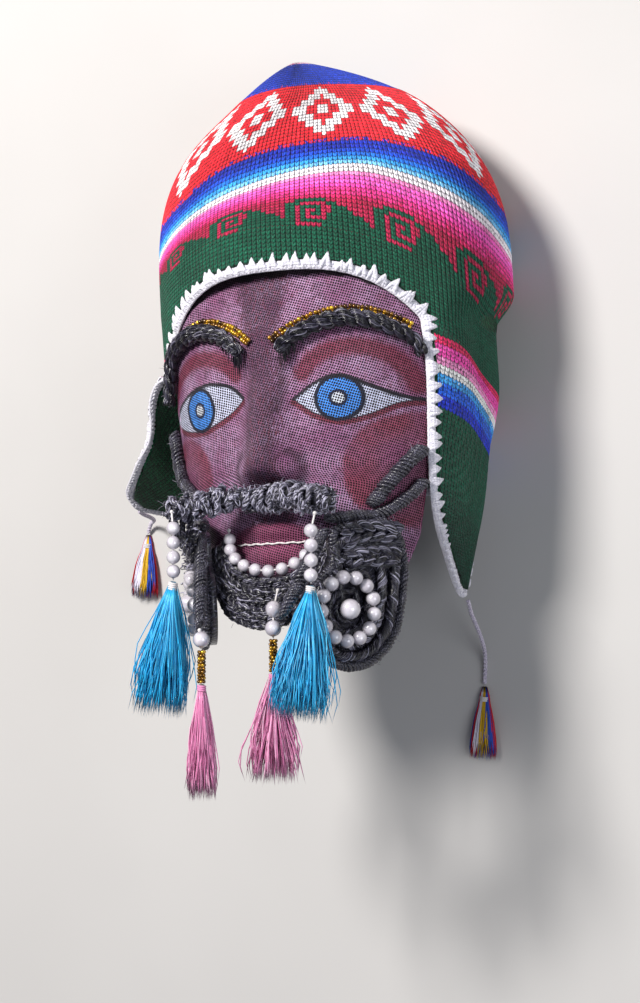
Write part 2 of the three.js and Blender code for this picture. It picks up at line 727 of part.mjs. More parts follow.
function tie(name) {
  const curve = new THREE.CatmullRomCurve3(TIES[name].path);
  const section = new THREE.Shape();
  for (let i = 0; i < TIE_SIDES; i += 1) {
    const turn = (2 * Math.PI * i) / TIE_SIDES;
    const [x, y] = [Math.cos(turn) * TIE_DIAMETER / 2, Math.sin(turn) * TIE_DIAMETER / 2];
    if (i === 0) {
      section.moveTo(x, y);
    } else {
      section.lineTo(x, y);
    }
  }
  const steps = Math.round(curve.getLength() / (2.5 * TIE_DIAMETER));
  return new THREE.ExtrudeGeometry(section, { steps, extrudePath: curve, curveSegments: 1 });
}

// The tassel at a tie's end lies on the ground, pressed flat by its own weight
function tieTassel(name) {
  const { path, way, length, spread } = TIES[name];
  const ground = -HEAD_AXIS_HEIGHT + 0.1;
  const direction = way.clone().normalize();
  const start = path.at(-1).clone().addScaledVector(direction, 3 * GAP);
  const profile = [[0, 1.6], [0.08, 3.2], [0.18, 2.6], [0.5, 0.7 * spread], [1, spread]];
  const lying = sweep(profile.map(([t, radius]) => ({
    at: start.clone().addScaledVector(direction, t * length).setZ(ground + radius),
    radius,
    flute: t > 0.3 ? 0.05 : 0,
  })), 8);
  const position = lying.getAttribute('position');
  for (let i = 0; i < position.count; i += 1) {
    position.setZ(i, Math.max(ground + (position.getZ(i) - ground) * TASSEL_PRESS, ground));
  }
  return lying;
}

const cap = knitCap();
const capSolid = solidFromSheet(cap.points, cap.faces, KNIT);
addPiece('face_screen', faceScreen(), COLOURS.screen, 0.75);
addPiece('knit_cap', capSolid.geometry, COLOURS.knit);
addPiece('cap_edging', capEdging(cap.points, capSolid.normals, capSolid.loop), COLOURS.edging);
addPiece('moustache', moustache(), COLOURS.darkCord);
addPiece('chin_beard', chinBeard(), COLOURS.darkCord);
addPiece('lip_pearls', lipPearls(), COLOURS.pearl, 0.25);
for (const [name, side] of [['left', -1], ['right', 1]]) {
  addPiece(`brow_${name}`, brow(name, side), COLOURS.darkCord);
  addPiece(`brow_beads_${name}`, browBeads(name, side), COLOURS.gold, 0.3, 0.6);
  addPiece(`cheek_cord_${name}`, cheekCord(name, side), COLOURS.darkCord);
  addPiece(`jaw_cord_${name}`, jawCord(side), COLOURS.darkCord);
  addPiece(`beard_curl_${name}`, beardCurl(name, side), COLOURS.darkCord);
  addPiece(`curl_pearls_${name}`, curlPearls(name, side), COLOURS.pearl, 0.25);
  addPiece(`curl_stud_${name}`, curlStud(name, side), COLOURS.pearl, 0.25);
  addPiece(`beard_spindle_${name}`, spindle(name), COLOURS.darkCord);
  const drop = moustacheDrop(name, side);
  addPiece(`moustache_pearls_${name}`, drop.geometry, COLOURS.pearl, 0.25);
  const top = drop.end.clone().addScaledVector(HANG, GAP);
  const { way, length, spread } = BLUE_TASSEL[name];
  addPiece(`blue_tassel_${name}`, tassel(top, way, length, spread), COLOURS.turquoise);
  addPiece(`flap_tie_${name}`, tie(name), COLOURS.tie);
  addPiece(`flap_tassel_${name}`, tieTassel(name), COLOURS.mixed);
}
lowDrop('left');
lowDrop('middle');

export default mask;
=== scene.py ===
import math

import bmesh
import bpy
import numpy as np
from mathutils import Matrix, Vector


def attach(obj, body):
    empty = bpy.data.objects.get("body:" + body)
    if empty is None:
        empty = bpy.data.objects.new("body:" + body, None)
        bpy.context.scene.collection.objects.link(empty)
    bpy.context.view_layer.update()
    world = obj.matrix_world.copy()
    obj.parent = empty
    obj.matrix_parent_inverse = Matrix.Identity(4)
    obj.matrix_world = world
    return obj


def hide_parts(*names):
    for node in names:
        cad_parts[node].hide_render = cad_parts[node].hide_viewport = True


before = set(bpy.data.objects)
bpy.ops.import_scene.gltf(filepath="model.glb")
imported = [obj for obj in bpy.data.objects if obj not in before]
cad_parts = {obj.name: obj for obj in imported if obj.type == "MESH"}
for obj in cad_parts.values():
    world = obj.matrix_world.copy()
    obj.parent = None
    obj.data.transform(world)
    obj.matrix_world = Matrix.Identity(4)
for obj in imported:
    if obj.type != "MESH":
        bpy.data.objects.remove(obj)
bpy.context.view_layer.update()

# Looks of the dance mask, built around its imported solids.
# Shapes are made in head coordinates, in millimetres: x to the viewer's right, y up the face from
# eye level, z forward of the axis of the head. placed() turns them into metres in the row frame.
MM = 0.001
TURN = 2 * math.pi
EYE_LEVEL_Y = -40
HEAD_AXIS_HEIGHT = 62
HEAD_PLACE = np.array([0, EYE_LEVEL_Y, HEAD_AXIS_HEIGHT])
GAP = 0.35
HANG = np.array([-0.077, -0.997, -0.02])
SIDES = {"left": -1, "right": 1}
chance = np.random.default_rng(7)
finishes = {}


def placed(points):
    return (np.asarray(points, float) + HEAD_PLACE) * MM


def unit(v):
    v = np.asarray(v, float)
    return v / np.maximum(np.linalg.norm(v, axis=-1, keepdims=True), 1e-9)


def ease(value, start, end):
    t = np.clip((value - start) / (end - start), 0, 1)
    return t * t * (3 - 2 * t)


def bulge(distance, reach):
    return ease(1 - np.abs(distance) / reach, 0, 1)


def mirrored(points, side):
    return np.asarray(points, float) * [side, 1, 1]


# Camera: at the photograph's viewing angle, a metre from the head
CAMERA_TURN = math.radians(25)
CAMERA_RISE = math.radians(-3)
CAMERA_ROLL = math.radians(-3.5)
CAMERA_DISTANCE = 1000
PICTURE_HEIGHT_PX = 1003
PICTURE_MIDDLE_PX = np.array([320, 501.5])
HEAD_AT_PX = np.array([336, 401])
FOCAL_PX = 2000


def add_camera():
    away = np.array([
        math.sin(CAMERA_TURN) * math.cos(CAMERA_RISE), math.sin(CAMERA_RISE),
        math.cos(CAMERA_TURN) * math.cos(CAMERA_RISE)])
    right = unit(np.cross(-away, [0, 1, 0]))
    up = np.cross(right, -away)
    cos, sin = math.cos(CAMERA_ROLL), math.sin(CAMERA_ROLL)
    right, up = cos * right + sin * up, cos * up - sin * right
    data = bpy.data.cameras.new("camera")
    data.lens = data.sensor_width * FOCAL_PX / PICTURE_HEIGHT_PX
    camera = bpy.data.objects.new("camera", data)
    bpy.context.scene.collection.objects.link(camera)
    bpy.context.scene.camera = camera
    aim_px = (HEAD_AT_PX - PICTURE_MIDDLE_PX) / FOCAL_PX
    aim = unit([aim_px[0], -aim_px[1], -1])
    turn = Vector(aim).rotation_difference(Vector((0, 0, -1))).to_matrix()
    pose = np.eye(4)
    pose[:3, :3] = np.array([right, up, away]).T @ np.array(turn)
    pose[:3, 3] = placed(away * CAMERA_DISTANCE)
    camera.matrix_world = Matrix(pose.tolist())


# Lines, tubes and grids that the pieces are made of
def smooth_line(points, count, closed=False):
    """count places, evenly apart, on the smooth line through the points."""
    p = np.asarray(points, float)
    if closed:
        ends = np.vstack([p[-1:], p, p[:2]])
    else:
        ends = np.vstack([2 * p[:1] - p[1:2], p, 2 * p[-1:] - p[-2:-1]])
    t = np.linspace(0, 1, 48, endpoint=False)[:, None]
    dense = []
    for a, b, c, d in zip(ends, ends[1:], ends[2:], ends[3:]):
        k = [max(math.sqrt(np.linalg.norm(q - r)), 1e-4) for q, r in ((a, b), (b, c), (c, d))]
        leave = ((b - a) / k[0] - (c - a) / (k[0] + k[1]) + (c - b) / k[1]) * k[1]
        arrive = ((c - b) / k[1] - (d - b) / (k[1] + k[2]) + (d - c) / k[2]) * k[1]
        dense.append(
            (2 * t**3 - 3 * t**2 + 1) * b + (t**3 - 2 * t**2 + t) * leave
            + (3 * t**2 - 2 * t**3) * c + (t**3 - t**2) * arrive)
    return evenly(np.vstack([*dense, p[:1] if closed else p[-1:]]), count)


def evenly(line, count):
    """The same line with count places evenly apart."""
    so_far = reach_along(line)
    wanted = np.linspace(0, so_far[-1], count)
    return np.stack([np.interp(wanted, so_far, line[:, k]) for k in range(line.shape[1])], axis=1)


def reach_along(line):
    """Distance along a line, or along each of many, at its places."""
    steps = np.linalg.norm(np.diff(line, axis=-2), axis=-1)
    return np.concatenate([np.zeros(steps.shape[:-1] + (1,)), np.cumsum(steps, axis=-1)], axis=-1)


def at_stations(values, count):
    """Values along a line, worked out again at count stations."""
    return np.interp(np.linspace(0, 1, count), np.linspace(0, 1, np.size(values)), np.ravel(values))


def directions(paths):
    """Along, across and up at each place of the paths (N, S, 3), carried along without twist."""
    along = unit(np.gradient(paths, axis=1))
    now = np.where(np.abs(along[:, 0, 2:]) < 0.9, [[0, 0, 1.0]], [[1.0, 0, 0]])
    across = np.empty_like(along)
    for s in range(paths.shape[1]):
        now = unit(now - along[:, s] * np.sum(now * along[:, s], axis=1, keepdims=True))
        across[:, s] = now
    return along, across, np.cross(along, across)


def side_and_front(way):
    """The two directions square to a way that things fall."""
    side = unit(np.cross(way, [0, 0, 1.0]))
    return side, np.cross(side, way)


def keep_numbers(mesh, name, numbers, domain="POINT"):
    """Keep a number for each place or face corner, under a name that the finishes read."""
    layer = mesh.attributes.new(name, "FLOAT", domain)
    if numbers is not None:
        layer.data.foreach_set("value", np.asarray(numbers, np.float32).ravel())


def mend(mesh, reach, gone=()):
    """Take out the numbered faces, merge places within reach metres, and turn all faces outwards."""
    bm = bmesh.new()
    bm.from_mesh(mesh)
    if len(gone):
        bm.faces.ensure_lookup_table()
        bmesh.ops.delete(bm, geom=[bm.faces[number] for number in gone], context="FACES")
    bmesh.ops.remove_doubles(bm, verts=bm.verts, dist=reach)
    bmesh.ops.recalc_face_normals(bm, faces=bm.faces)
    bm.to_mesh(mesh)
    bm.free()


def grid_mesh(places, uv, cuts=(), shade=0.5, corners=None):
    """A mesh of one grid of places (rows, columns, 3); the rows in cuts aren't joined to the next.
    shade is a number at each place and corners is one for each face, both kept for the finishes."""
    rows, columns = places.shape[:2]
    bm = bmesh.new()
    bmesh.ops.create_grid(bm, x_segments=columns - 1, y_segments=rows - 1, size=1)
    mesh = bpy.data.meshes.new("part")
    bm.to_mesh(mesh)
    bm.free()
    mesh.vertices.foreach_set("co", placed(places).ravel())
    corner = np.empty(len(mesh.loops), dtype=np.int32)
    mesh.loops.foreach_get("vertex_index", corner)
    layer = mesh.uv_layers.new(name="surface")
    layer.uv.foreach_set("vector", uv.reshape(-1, 2)[corner].astype(np.float32).ravel())
    keep_numbers(mesh, "shade", np.broadcast_to(shade, (rows, columns)))
    keep_numbers(mesh, "motif", None if corners is None else np.repeat(corners, 4), "CORNER")
    mend(mesh, 1e-7, [row * (columns - 1) + column for row in cuts for column in range(columns - 1)])
    return mesh


def rounded(paths, radius):
    """Radius along each path, with round ends."""
    so_far = reach_along(paths)
    to_end = np.minimum(so_far, so_far[:, -1:] - so_far)
    radius = np.broadcast_to(radius, so_far.shape)
    return radius * np.sqrt(1 - (1 - np.clip(to_end / np.maximum(radius, 1e-6), 0, 1)) ** 2)


def tubes(paths, radii, sides=8, shade=None):
    """Round bodies along the paths (N, S, 3). A radius of zero at the ends closes them.
    shade is one number for each path, or one for each of its places."""
    paths = np.asarray(paths, float)
    count, stations = paths.shape[:2]
    flat = (count * stations, sides + 1)
    radii = np.broadcast_to(radii, (count, stations))
    _, across, up = directions(paths)
    turn = np.linspace(0, TURN, sides + 1)
    ring = across[:, :, None] * np.cos(turn)[:, None] + up[:, :, None] * np.sin(turn)[:, None]
    places = paths[:, :, None] + radii[:, :, None, None] * ring
    so_far = np.broadcast_to(reach_along(paths)[:, :, None], places.shape[:3])
    around = np.broadcast_to(turn * np.mean(radii), places.shape[:3])
    uv = np.stack([so_far, around], axis=-1).reshape(*flat, 2)
    tone = 0.5
    if shade is not None:
        tone = np.asarray(shade, float).reshape(count, -1, 1)
        tone = np.broadcast_to(tone, places.shape[:3]).reshape(flat)
    cuts = np.arange(1, count) * stations - 1
    return grid_mesh(places.reshape(*flat, 3), uv, cuts, tone)


def tube(path, radius, sides=6, shade=None):
    """One tube with round ends."""
    return tubes(path[None], rounded(path[None], radius), sides, shade)


def plies(path, radius, count, pitch, start=0):
    """The paths of plies that twist round one path."""
    _, across, up = directions(path[None])
    turn = TURN * (reach_along(path) / pitch + np.arange(count)[:, None] / count) + start
    radius = np.broadcast_to(radius, len(path))[:, None]
    return path + radius * (np.cos(turn[..., None]) * across[0] + np.sin(turn[..., None]) * up[0])


def beads(places, radius, seed=False):
    """Beads at the places, each a little out of round: pearls, or seed beads with fewer faces."""
    bm = bmesh.new()
    if seed:
        bmesh.ops.create_icosphere(bm, subdivisions=2, radius=1)
    else:
        bmesh.ops.create_uvsphere(bm, u_segments=20, v_segments=12, radius=1)
    one = bpy.data.meshes.new("bead")
    bm.to_mesh(one)
    bm.free()
    base = np.empty(len(one.vertices) * 3)
    one.vertices.foreach_get("co", base)
    base = base.reshape(-1, 3)
    bm = bmesh.new()
    for at in np.asarray(places, float):
        bend = unit(chance.normal(size=3)) * (0.08 if seed else 0.03)
        one.vertices.foreach_set("co", placed(at + base * radius * (1 + base @ bend)[:, None]).ravel())
        bm.from_mesh(one)
    bpy.data.meshes.remove(one)
    mesh = bpy.data.meshes.new("beads")
    bm.to_mesh(mesh)
    bm.free()
    mesh.uv_layers.new(name="surface")
    keep_numbers(mesh, "shade", np.repeat(chance.random(len(places)), len(base)))
    keep_numbers(mesh, "motif", None, "CORNER")
    return mesh


def piece(name, parts):
    """One object from its (mesh, finish) parts, in the place of the CAD node of its name."""
    used = list(dict.fromkeys(look for _, look in parts))
    bm = bmesh.new()
    for mesh, look in parts:
        numbers = np.full(len(mesh.polygons), used.index(look), dtype=np.int32)
        mesh.polygons.foreach_set("material_index", numbers)
        bm.from_mesh(mesh)
        bpy.data.meshes.remove(mesh)
    whole = bpy.data.meshes.new(name + "_piece")
    for look in used:
        whole.materials.append(finishes[look])
    bm.to_mesh(whole)
    bm.free()
    whole.shade_smooth()
    made = bpy.data.objects.new(name + "_piece", whole)
    bpy.context.scene.collection.objects.link(made)
    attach(made, "root")
    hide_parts(name)
    return made


# Finishes
def paint(code):
    """The shader's linear colour for a colour written as on a paint card."""
    parts = [int(code[k:k + 2], 16) / 255 for k in (0, 2, 4)]
    return (*[p / 12.92 if p <= 0.04045 else ((p + 0.055) / 1.055) ** 2.4 for p in parts], 1)


class Recipe:
    """The nodes of one finish, or of one effect that several finishes share."""

    def __init__(self, tree):
        self.tree = tree

    def wire(self, node, inputs):
        for key, value in inputs.items():
            if isinstance(value, bpy.types.NodeSocket):
                self.tree.links.new(value, node.inputs[key])
            else:
                node.inputs[key].default_value = value
        return node

    def node(self, kind, inputs, **settings):
        made = self.tree.nodes.new("ShaderNode" + kind)
        for key, value in settings.items():
            setattr(made, key, value)
        return self.wire(made, inputs)

    def math(self, operation, *values):
        return self.node("Math", dict(enumerate(values)), operation=operation).outputs[0]

    def times(self, first, *others):
        for value in others:
            first = self.math("MULTIPLY", first, value)
        return first

    def scaled(self, value, factor, plus):
        return self.math("MULTIPLY_ADD", value, factor, plus)

    def minus(self, a, b):
        return self.math("SUBTRACT", a, b)

    def zigzag(self, value):
        """1 at whole numbers, 0 half way between them."""
        return self.math("ABSOLUTE", self.scaled(self.math("FRACT", value), 2.0, -1.0))

    def between(self, value, low, high, to_low=0.0, to_high=1.0, kind="SMOOTHSTEP"):
        inputs = {"Value": value, "From Min": low, "From Max": high, "To Min": to_low, "To Max": to_high}
        return self.node("MapRange", inputs, interpolation_type=kind).outputs[0]

    def mix(self, factor, a, b, blend="MIX"):
        a, b = (paint(side) if isinstance(side, str) else side for side in (a, b))
        return self.node("Mix", {0: factor, 6: a, 7: b}, data_type="RGBA", blend_type=blend).outputs[2]

    def shaded(self, colour, shade):
        grey = self.node("CombineColor", {0: shade, 1: shade, 2: shade}).outputs[0]
        return self.mix(1.0, colour, grey, "MULTIPLY")

    def noise(self, where, scale, detail=3.0, rough=0.5):
        """Noise of one scale, or with a scale of its own in each direction."""
        if isinstance(scale, tuple):
            where = self.node("Mapping", {"Vector": where, "Scale": scale}).outputs[0]
            scale = 1.0
        inputs = {"Vector": where, "Scale": scale, "Detail": detail, "Roughness": rough}
        return self.node("TexNoise", inputs).outputs[0]

    def ramp(self, factor, stops, interpolation="LINEAR"):
        node = self.node("ValToRGB", {0: factor})
        node.color_ramp.interpolation = interpolation
        points = node.color_ramp.elements
        while len(points) < len(stops):
            points.new(0.5)
        for point, (place, code) in zip(points, stops):
            point.position = place
            point.color = paint(code)
        return node.outputs[0]

    def split(self, where):
        return self.node("SeparateXYZ", {0: where}).outputs[:2]

    def surface(self):
        return self.node("UVMap", {}, uv_map="surface").outputs[0]

    def place(self):
        return self.node("TexCoord", {}).outputs["Object"]

    def number(self, name):
        return self.node("Attribute", {}, attribute_name=name).outputs["Fac"]

    def shared(self, effect, inputs):
        return self.node("Group", inputs, node_tree=effect).outputs[:]

    def finish(self, colour, height=None, depth_mm=0.3, **looks):
        """Complete a material: its colour, its bump, and plain values on the shader itself."""
        shader = self.tree.nodes["Principled BSDF"]
        inputs = {key.replace("_", " "): value for key, value in looks.items()}
        if height is not None:
            bump = {"Height": height, "Strength": 1.0, "Distance": depth_mm * MM}
            inputs["Normal"] = self.node("Bump", bump).outputs[0]
        self.wire(shader, {"Base Color": colour, **inputs})


def material(name):
    made = bpy.data.materials.new(name)
    made.use_nodes = True
    finishes[name] = made
    return Recipe(made.node_tree)


def effect(name, inputs, outputs):
    """An empty shared effect with named inputs and outputs: its recipe, input sockets and end node."""
    tree = bpy.data.node_groups.new(name, "ShaderNodeTree")
    for key, (kind, value) in inputs.items():
        socket = tree.interface.new_socket(name=key, in_out="INPUT", socket_type="NodeSocket" + kind)
        if value is not None:
            socket.default_value = value
    for key in outputs:
        tree.interface.new_socket(name=key, in_out="OUTPUT", socket_type="NodeSocketFloat")
    return Recipe(tree), tree.nodes.new("NodeGroupInput").outputs, tree.nodes.new("NodeGroupOutput")


def stitches_effect():
    """Knitted stitches on a surface measured in wales and rows: each is a V of two legs."""
    make, start, end = effect(
        "stitches", {"Wales and rows": ("Vector", None)}, ("Height", "Row", "Shade", "Uneven"))
    wale, row = make.split(start[0])
    across = make.zigzag(wale)
    lifted = make.minus(row, make.times(across, 0.5))
    flank = make.math("SQRT", make.minus(1.0, make.math("POWER", across, 3.0)))
    bar = make.minus(1.0, make.times(make.math("POWER", make.zigzag(lifted), 3.0), 0.55))
    body = make.times(flank, make.between(across, 0.0, 0.3, 0.72, 1.0), bar)
    strands = make.noise(start[0], (9, 2.5, 1), 4.0)
    whole_row = make.math("FLOOR", lifted)
    stitch = make.node("CombineXYZ", {0: make.math("FLOOR", wale), 1: whole_row}).outputs[0]
    uneven = make.node("TexWhiteNoise", {"Vector": stitch}, noise_dimensions="2D").outputs[0]
    # Shade is the legs' relief, which the wool uses as a painted shade in its grooves.
    make.wire(end, {
        "Height": make.scaled(strands, 0.35, body), "Row": whole_row, "Shade": body, "Uneven": uneven})
    return make.tree


def yarn_effect():
    """Wound yarn on a surface measured in millimetres along and around a cord."""
    make, start, end = effect(
        "yarn",
        {"Along and around": ("Vector", None), "Turn pitch": ("Float", 0.9), "Slant": ("Float", 0.25)},
        ("Height", "Shade"))
    along, around = make.split(start[0])
    sway = make.times(make.noise(start[0], 0.35, 2.0), 2.4)
    slanted = make.math("ADD", make.scaled(around, start["Slant"], along), sway)
    phase = make.times(make.math("DIVIDE", slanted, start["Turn pitch"]), TURN)
    turns = make.scaled(make.math("SINE", phase), 0.5, 0.5)
    turned = make.node("CombineXYZ", {0: slanted, 1: around}).outputs[0]
    fibres = make.noise(turned, (5.5, 0.9, 1), 5.0, 0.65)
    # Shade: each fibre's own tone, darkened in the grooves between the turns as a painted shade.
    shade = make.times(make.between(fibres, 0.3, 0.72), make.scaled(turns, 0.6, 0.4))
    make.wire(end, {"Height": make.scaled(fibres, 0.9, make.times(turns, 0.6)), "Shade": shade})
    return make.tree


# The cap's bands, by height above the flap line in millimetres
KNIT_GREEN = "02513a"
BANDS_FROM = -60.0
BANDS_TO = 152.0
BANDS = [
    # The bands on the flaps, below 0, are brighter than the same bands on the crown: painted light on the
    # flaps.
    (-60, KNIT_GREEN), (-34, "1c38d0"), (-28, "2468ec"), (-23, "44acf8"), (-19, "ffffff"), (-14, "ff9cd4"),
    (-10, "ff50b8"), (-5, "e42862"), (0, KNIT_GREEN), (38, "b01a46"), (53, "c81f5c"), (56, "e23484"),
    (58.5, "f648ac"), (62, "fc62c4"), (65.5, "fa8cc8"), (67.5, "f4ecf2"), (71, "7cc4f2"), (73, "369ce8"),
    (75.5, "1c6cdc"), (78, "1848c8"), (80, "182ca8"), (84.5, "e42030"), (124, "183cbc"), (145, "e8ecf4"),
    (147, "f05aa4"),
]


def knit_colours(make, where, row):
    """Bands with ragged edges, green frets and white diamonds."""
    ragged = make.scaled(make.noise(where, (1.3, 0.5, 1), 2.0, 0.8), 3.2, -1.6)
    height = make.math("ADD", make.scaled(row, 2.0, 1.0), ragged)
    share = make.between(height, BANDS_FROM, BANDS_TO, kind="LINEAR")
    stops = [((height - BANDS_FROM) / (BANDS_TO - BANDS_FROM), code) for height, code in BANDS]
    colour = make.ramp(share, stops, "CONSTANT")
    motif = make.number("motif")
    fret = make.times(make.math("GREATER_THAN", motif, 0.5), make.math("LESS_THAN", motif, 1.5))
    colour = make.mix(fret, colour, KNIT_GREEN)
    return make.mix(make.math("GREATER_THAN", motif, 1.5), colour, "efe9ec")


def knitted_wool(name, stitches, inside):
    make = material(name)
    where = make.surface()
    height, row, body, uneven = make.shared(stitches, {0: where})
    if inside:
        colour = make.ramp(make.noise(where, 0.8), [(0.3, "06301e"), (0.7, "0f6b40")])
    else:
        colour = knit_colours(make, where, row)
    flecks = make.noise(where, (3.5, 2.2, 1), 3.0, 0.7)
    colour = make.mix(make.between(flecks, 0.56, 0.82, 0.0, 0.13), colour, "cfe0dc", "SCREEN")
    worn = make.between(make.noise(make.place(), 30.0), 0.3, 0.7, 0.8, 1.08)
    patchy = make.times(worn, make.between(flecks, 0.3, 0.62, 0.5, 1.3), make.scaled(uneven, 0.45, 0.82))
    coarse = make.between(make.noise(where, (1.5, 1.2, 1), 3.0, 0.8), 0.38, 0.62, 0.35, 1.25)
    coarse = make.mix(make.between(row, -38.0, -34.0), coarse, (1.1, 1.1, 1.1, 1))
    colour = make.mix(1.0, colour, coarse, "MULTIPLY")
    # Painted shade: the colour darkens to near black in the grooves between wales and rows, following the
    # stitches' relief.
    colour = make.shaded(colour, make.times(make.between(body, 0.2, 0.9, 0.04, 1.15), patchy))
    make.finish(colour, height, 1.2, Roughness=0.85, Sheen_Weight=0.06, Sheen_Roughness=0.4)


def wound_cord(name, yarn, dark, middle, light, pitch, slant, depth_mm, **looks):
    make = material(name)
    height, body = make.shared(yarn, {0: make.surface(), "Turn pitch": pitch, "Slant": slant})
    # The yarn's Shade holds painted shade in its grooves, on top of the strands' own tone.
    tone = make.scaled(make.number("shade"), 0.3, make.minus(body, 0.15))
    colour = make.ramp(tone, [(0.0, dark), (0.45, middle), (0.95, light)])
    make.finish(colour, height, depth_mm, **looks)


def floss(name, stops, shade_downward=0.0, grained=0.3, interpolation="LINEAR", **looks):
    """Loose silky thread: one colour to each strand, with a finer grain along it."""
    make = material(name)
    where = make.surface()
    grain = make.noise(where, (0.35, 9, 1))
    tone = make.math("ADD", make.number("shade"), make.scaled(grain, grained, -grained / 2))
    # Painted shade: the strand darkens the further it is from its top.
    if shade_downward:
        tone = make.minus(tone, make.times(make.split(where)[0], shade_downward))
    make.finish(make.ramp(tone, stops, interpolation), grain, 0.05, **looks)


def pearl_finish():
    make = material("pearl")
    rim = make.node("LayerWeight", {"Blend": 0.35}).outputs["Facing"]
    cloud = make.noise(make.place(), 260.0, 2.0)
    colour = make.mix(make.between(cloud, 0.35, 0.7), "ccc6d0", "e8e4ec")
    # Painted shade: the colour darkens towards each pearl's outline as it turns away from the view.
    colour = make.mix(make.times(rim, 0.85), colour, "4c4652")
    rough = make.between(cloud, 0.3, 0.7, 0.14, 0.24)
    make.finish(colour, cloud, 0.01, Roughness=rough, Coat_Weight=1.0, Coat_Roughness=0.12, IOR=1.7)


def amber_beads():
    make = material("gold_beads")
    colour = make.ramp(
        make.number("shade"), [(0.0, "341e02"), (0.4, "6c4806"), (0.75, "a8780c"), (1.0, "e6bc38")])
    wear = make.noise(make.place(), 900.0, 2.0)
    make.finish(colour, wear, 0.04, Roughness=make.between(wear, 0.3, 0.7, 0.14, 0.34),
                Metallic=0.55, Coat_Weight=0.6, Coat_Roughness=0.08)


def thread_finish():
    make = material("white_thread")
    grain = make.noise(make.surface(), (1.2, 6, 1))
    make.finish(make.mix(grain, "b9b3b4", "f6f2f2"), grain, 0.1, Roughness=0.7, Sheen_Weight=0.2)


# The knitted cap: the same surface as its solid, by the same numbers
CAP_HALF_WIDTH = 88
CAP_SHIFT_X = -1
CAP_FRONT_DEPTH = 83
CAP_BACK_DEPTH = 97
CAP_AXIS_Z = -8
CAP_TIP_Y = 172
CAP_TIP_LEAN = 13
CAP_SHOULDER_Y = 60
KNIT = 3
FRONT_ARCH_Y = 59
FRONT_ARCH_DROP = 36
FRONT_ARCH_TURN = 4
FLAP_FRONT_ANGLE = 54
FLAP_BACK_ANGLE = 120
NAPE_Y = -45
EDGING_HALF_WIDTH = 2.2
BACK_EASE_START = 50
BACK_EASE_END = 80
FLAPS = {
    "left": {
        "front": [(-88, 3, 30), (-95, -16, 24.5), (-101, -22, 20), (-113, -33, 9)],
        "back": [(-76, -49, -41), (-94, -50, -38), (-110, -49, -28)],
        "tip": [(-121, -40, -3), (-121.5, -45, -11)],
        "bow": 3,
    },
    "right": {
        "front": [(71.3, 3, 40.3), (69.6, -25, 40.3), (66.8, -53, 35), (59.5, -80, 3)],
        "back": [(58, -62, -37), (54, -78, -37)],
        "tip": [(53.5, -96, -21), (52, -98, -29)],
        "bow": 4,
    },
}
WALE = 2.55
ROW = 2
COLUMNS_PER_WALE = 3
FRONT_COLUMNS = 66 * COLUMNS_PER_WALE
FLAP_COLUMNS = 41 * COLUMNS_PER_WALE
BACK_COLUMNS = 80 * COLUMNS_PER_WALE
STITCH_RELIEF = 0.75
SLOW_RELIEF = 0.8
CROWN_ROWS = 56
SIDE_ROWS = 17
FLAP_ROWS = 52
INNER_ROWS = 8
LINING_STEP = 4
SOFTENED_DEGREES = 13
TIP_HEIGHT = 150

# Lines of even knitting height round the cap, as angle and y: the bands follow them
LEVELS = {
    0: [(-180, -12), (-120, -8), (-90, 2), (-70, 17), (-55, 26), (-25, 39), (0, 42), (25, 39),
        (55, 26), (70, 17), (90, 2), (120, -8), (180, -12)],
    40: [(-180, 30), (-120, 38), (-61, 61), (-30, 72), (-10, 80), (5, 81.5), (23, 78), (40, 71),
         (55, 60), (72, 44), (83, 37), (120, 30), (180, 30)],
    71: [(-180, 62), (-120, 66), (-61, 74), (-32, 87), (-13, 96), (7, 102), (24, 105), (37, 105),
         (50, 99), (64, 92), (79, 82), (92, 74), (102, 67), (140, 60), (180, 62)],
    84.5: [(-180, 76), (-120, 80), (-60, 89), (-33, 98), (-16, 111), (5, 116), (24, 118), (40, 118),
           (54, 114), (69, 108), (84, 98), (102, 87), (140, 78), (180, 76)],
    125: [(-180, 150), (0, 153), (180, 150)],
    TIP_HEIGHT: [(-180, CAP_TIP_Y), (180, CAP_TIP_Y)],
}

# One stepped fret, a mark for each green stitch, top row first
FRET = (
    "...GGGGGG........",
    ".GGG.....GG......",
    ".GG.GGGG..GGG....",
    ".GG.G..G..GGGG...",
    ".GG.G.GG.GGGGGGG.",
    ".GG.G....GGGGGGGG",
    "GGG.GGGGGGGGGGGGG",
    "GGG.....GGGGGGGGG",
)
FRET_START_ROW = 19
FRET_START_WALE = 4
DIAMOND_START_ROW = 44
DIAMOND_ROWS = 17
DIAMOND_WALES = 19


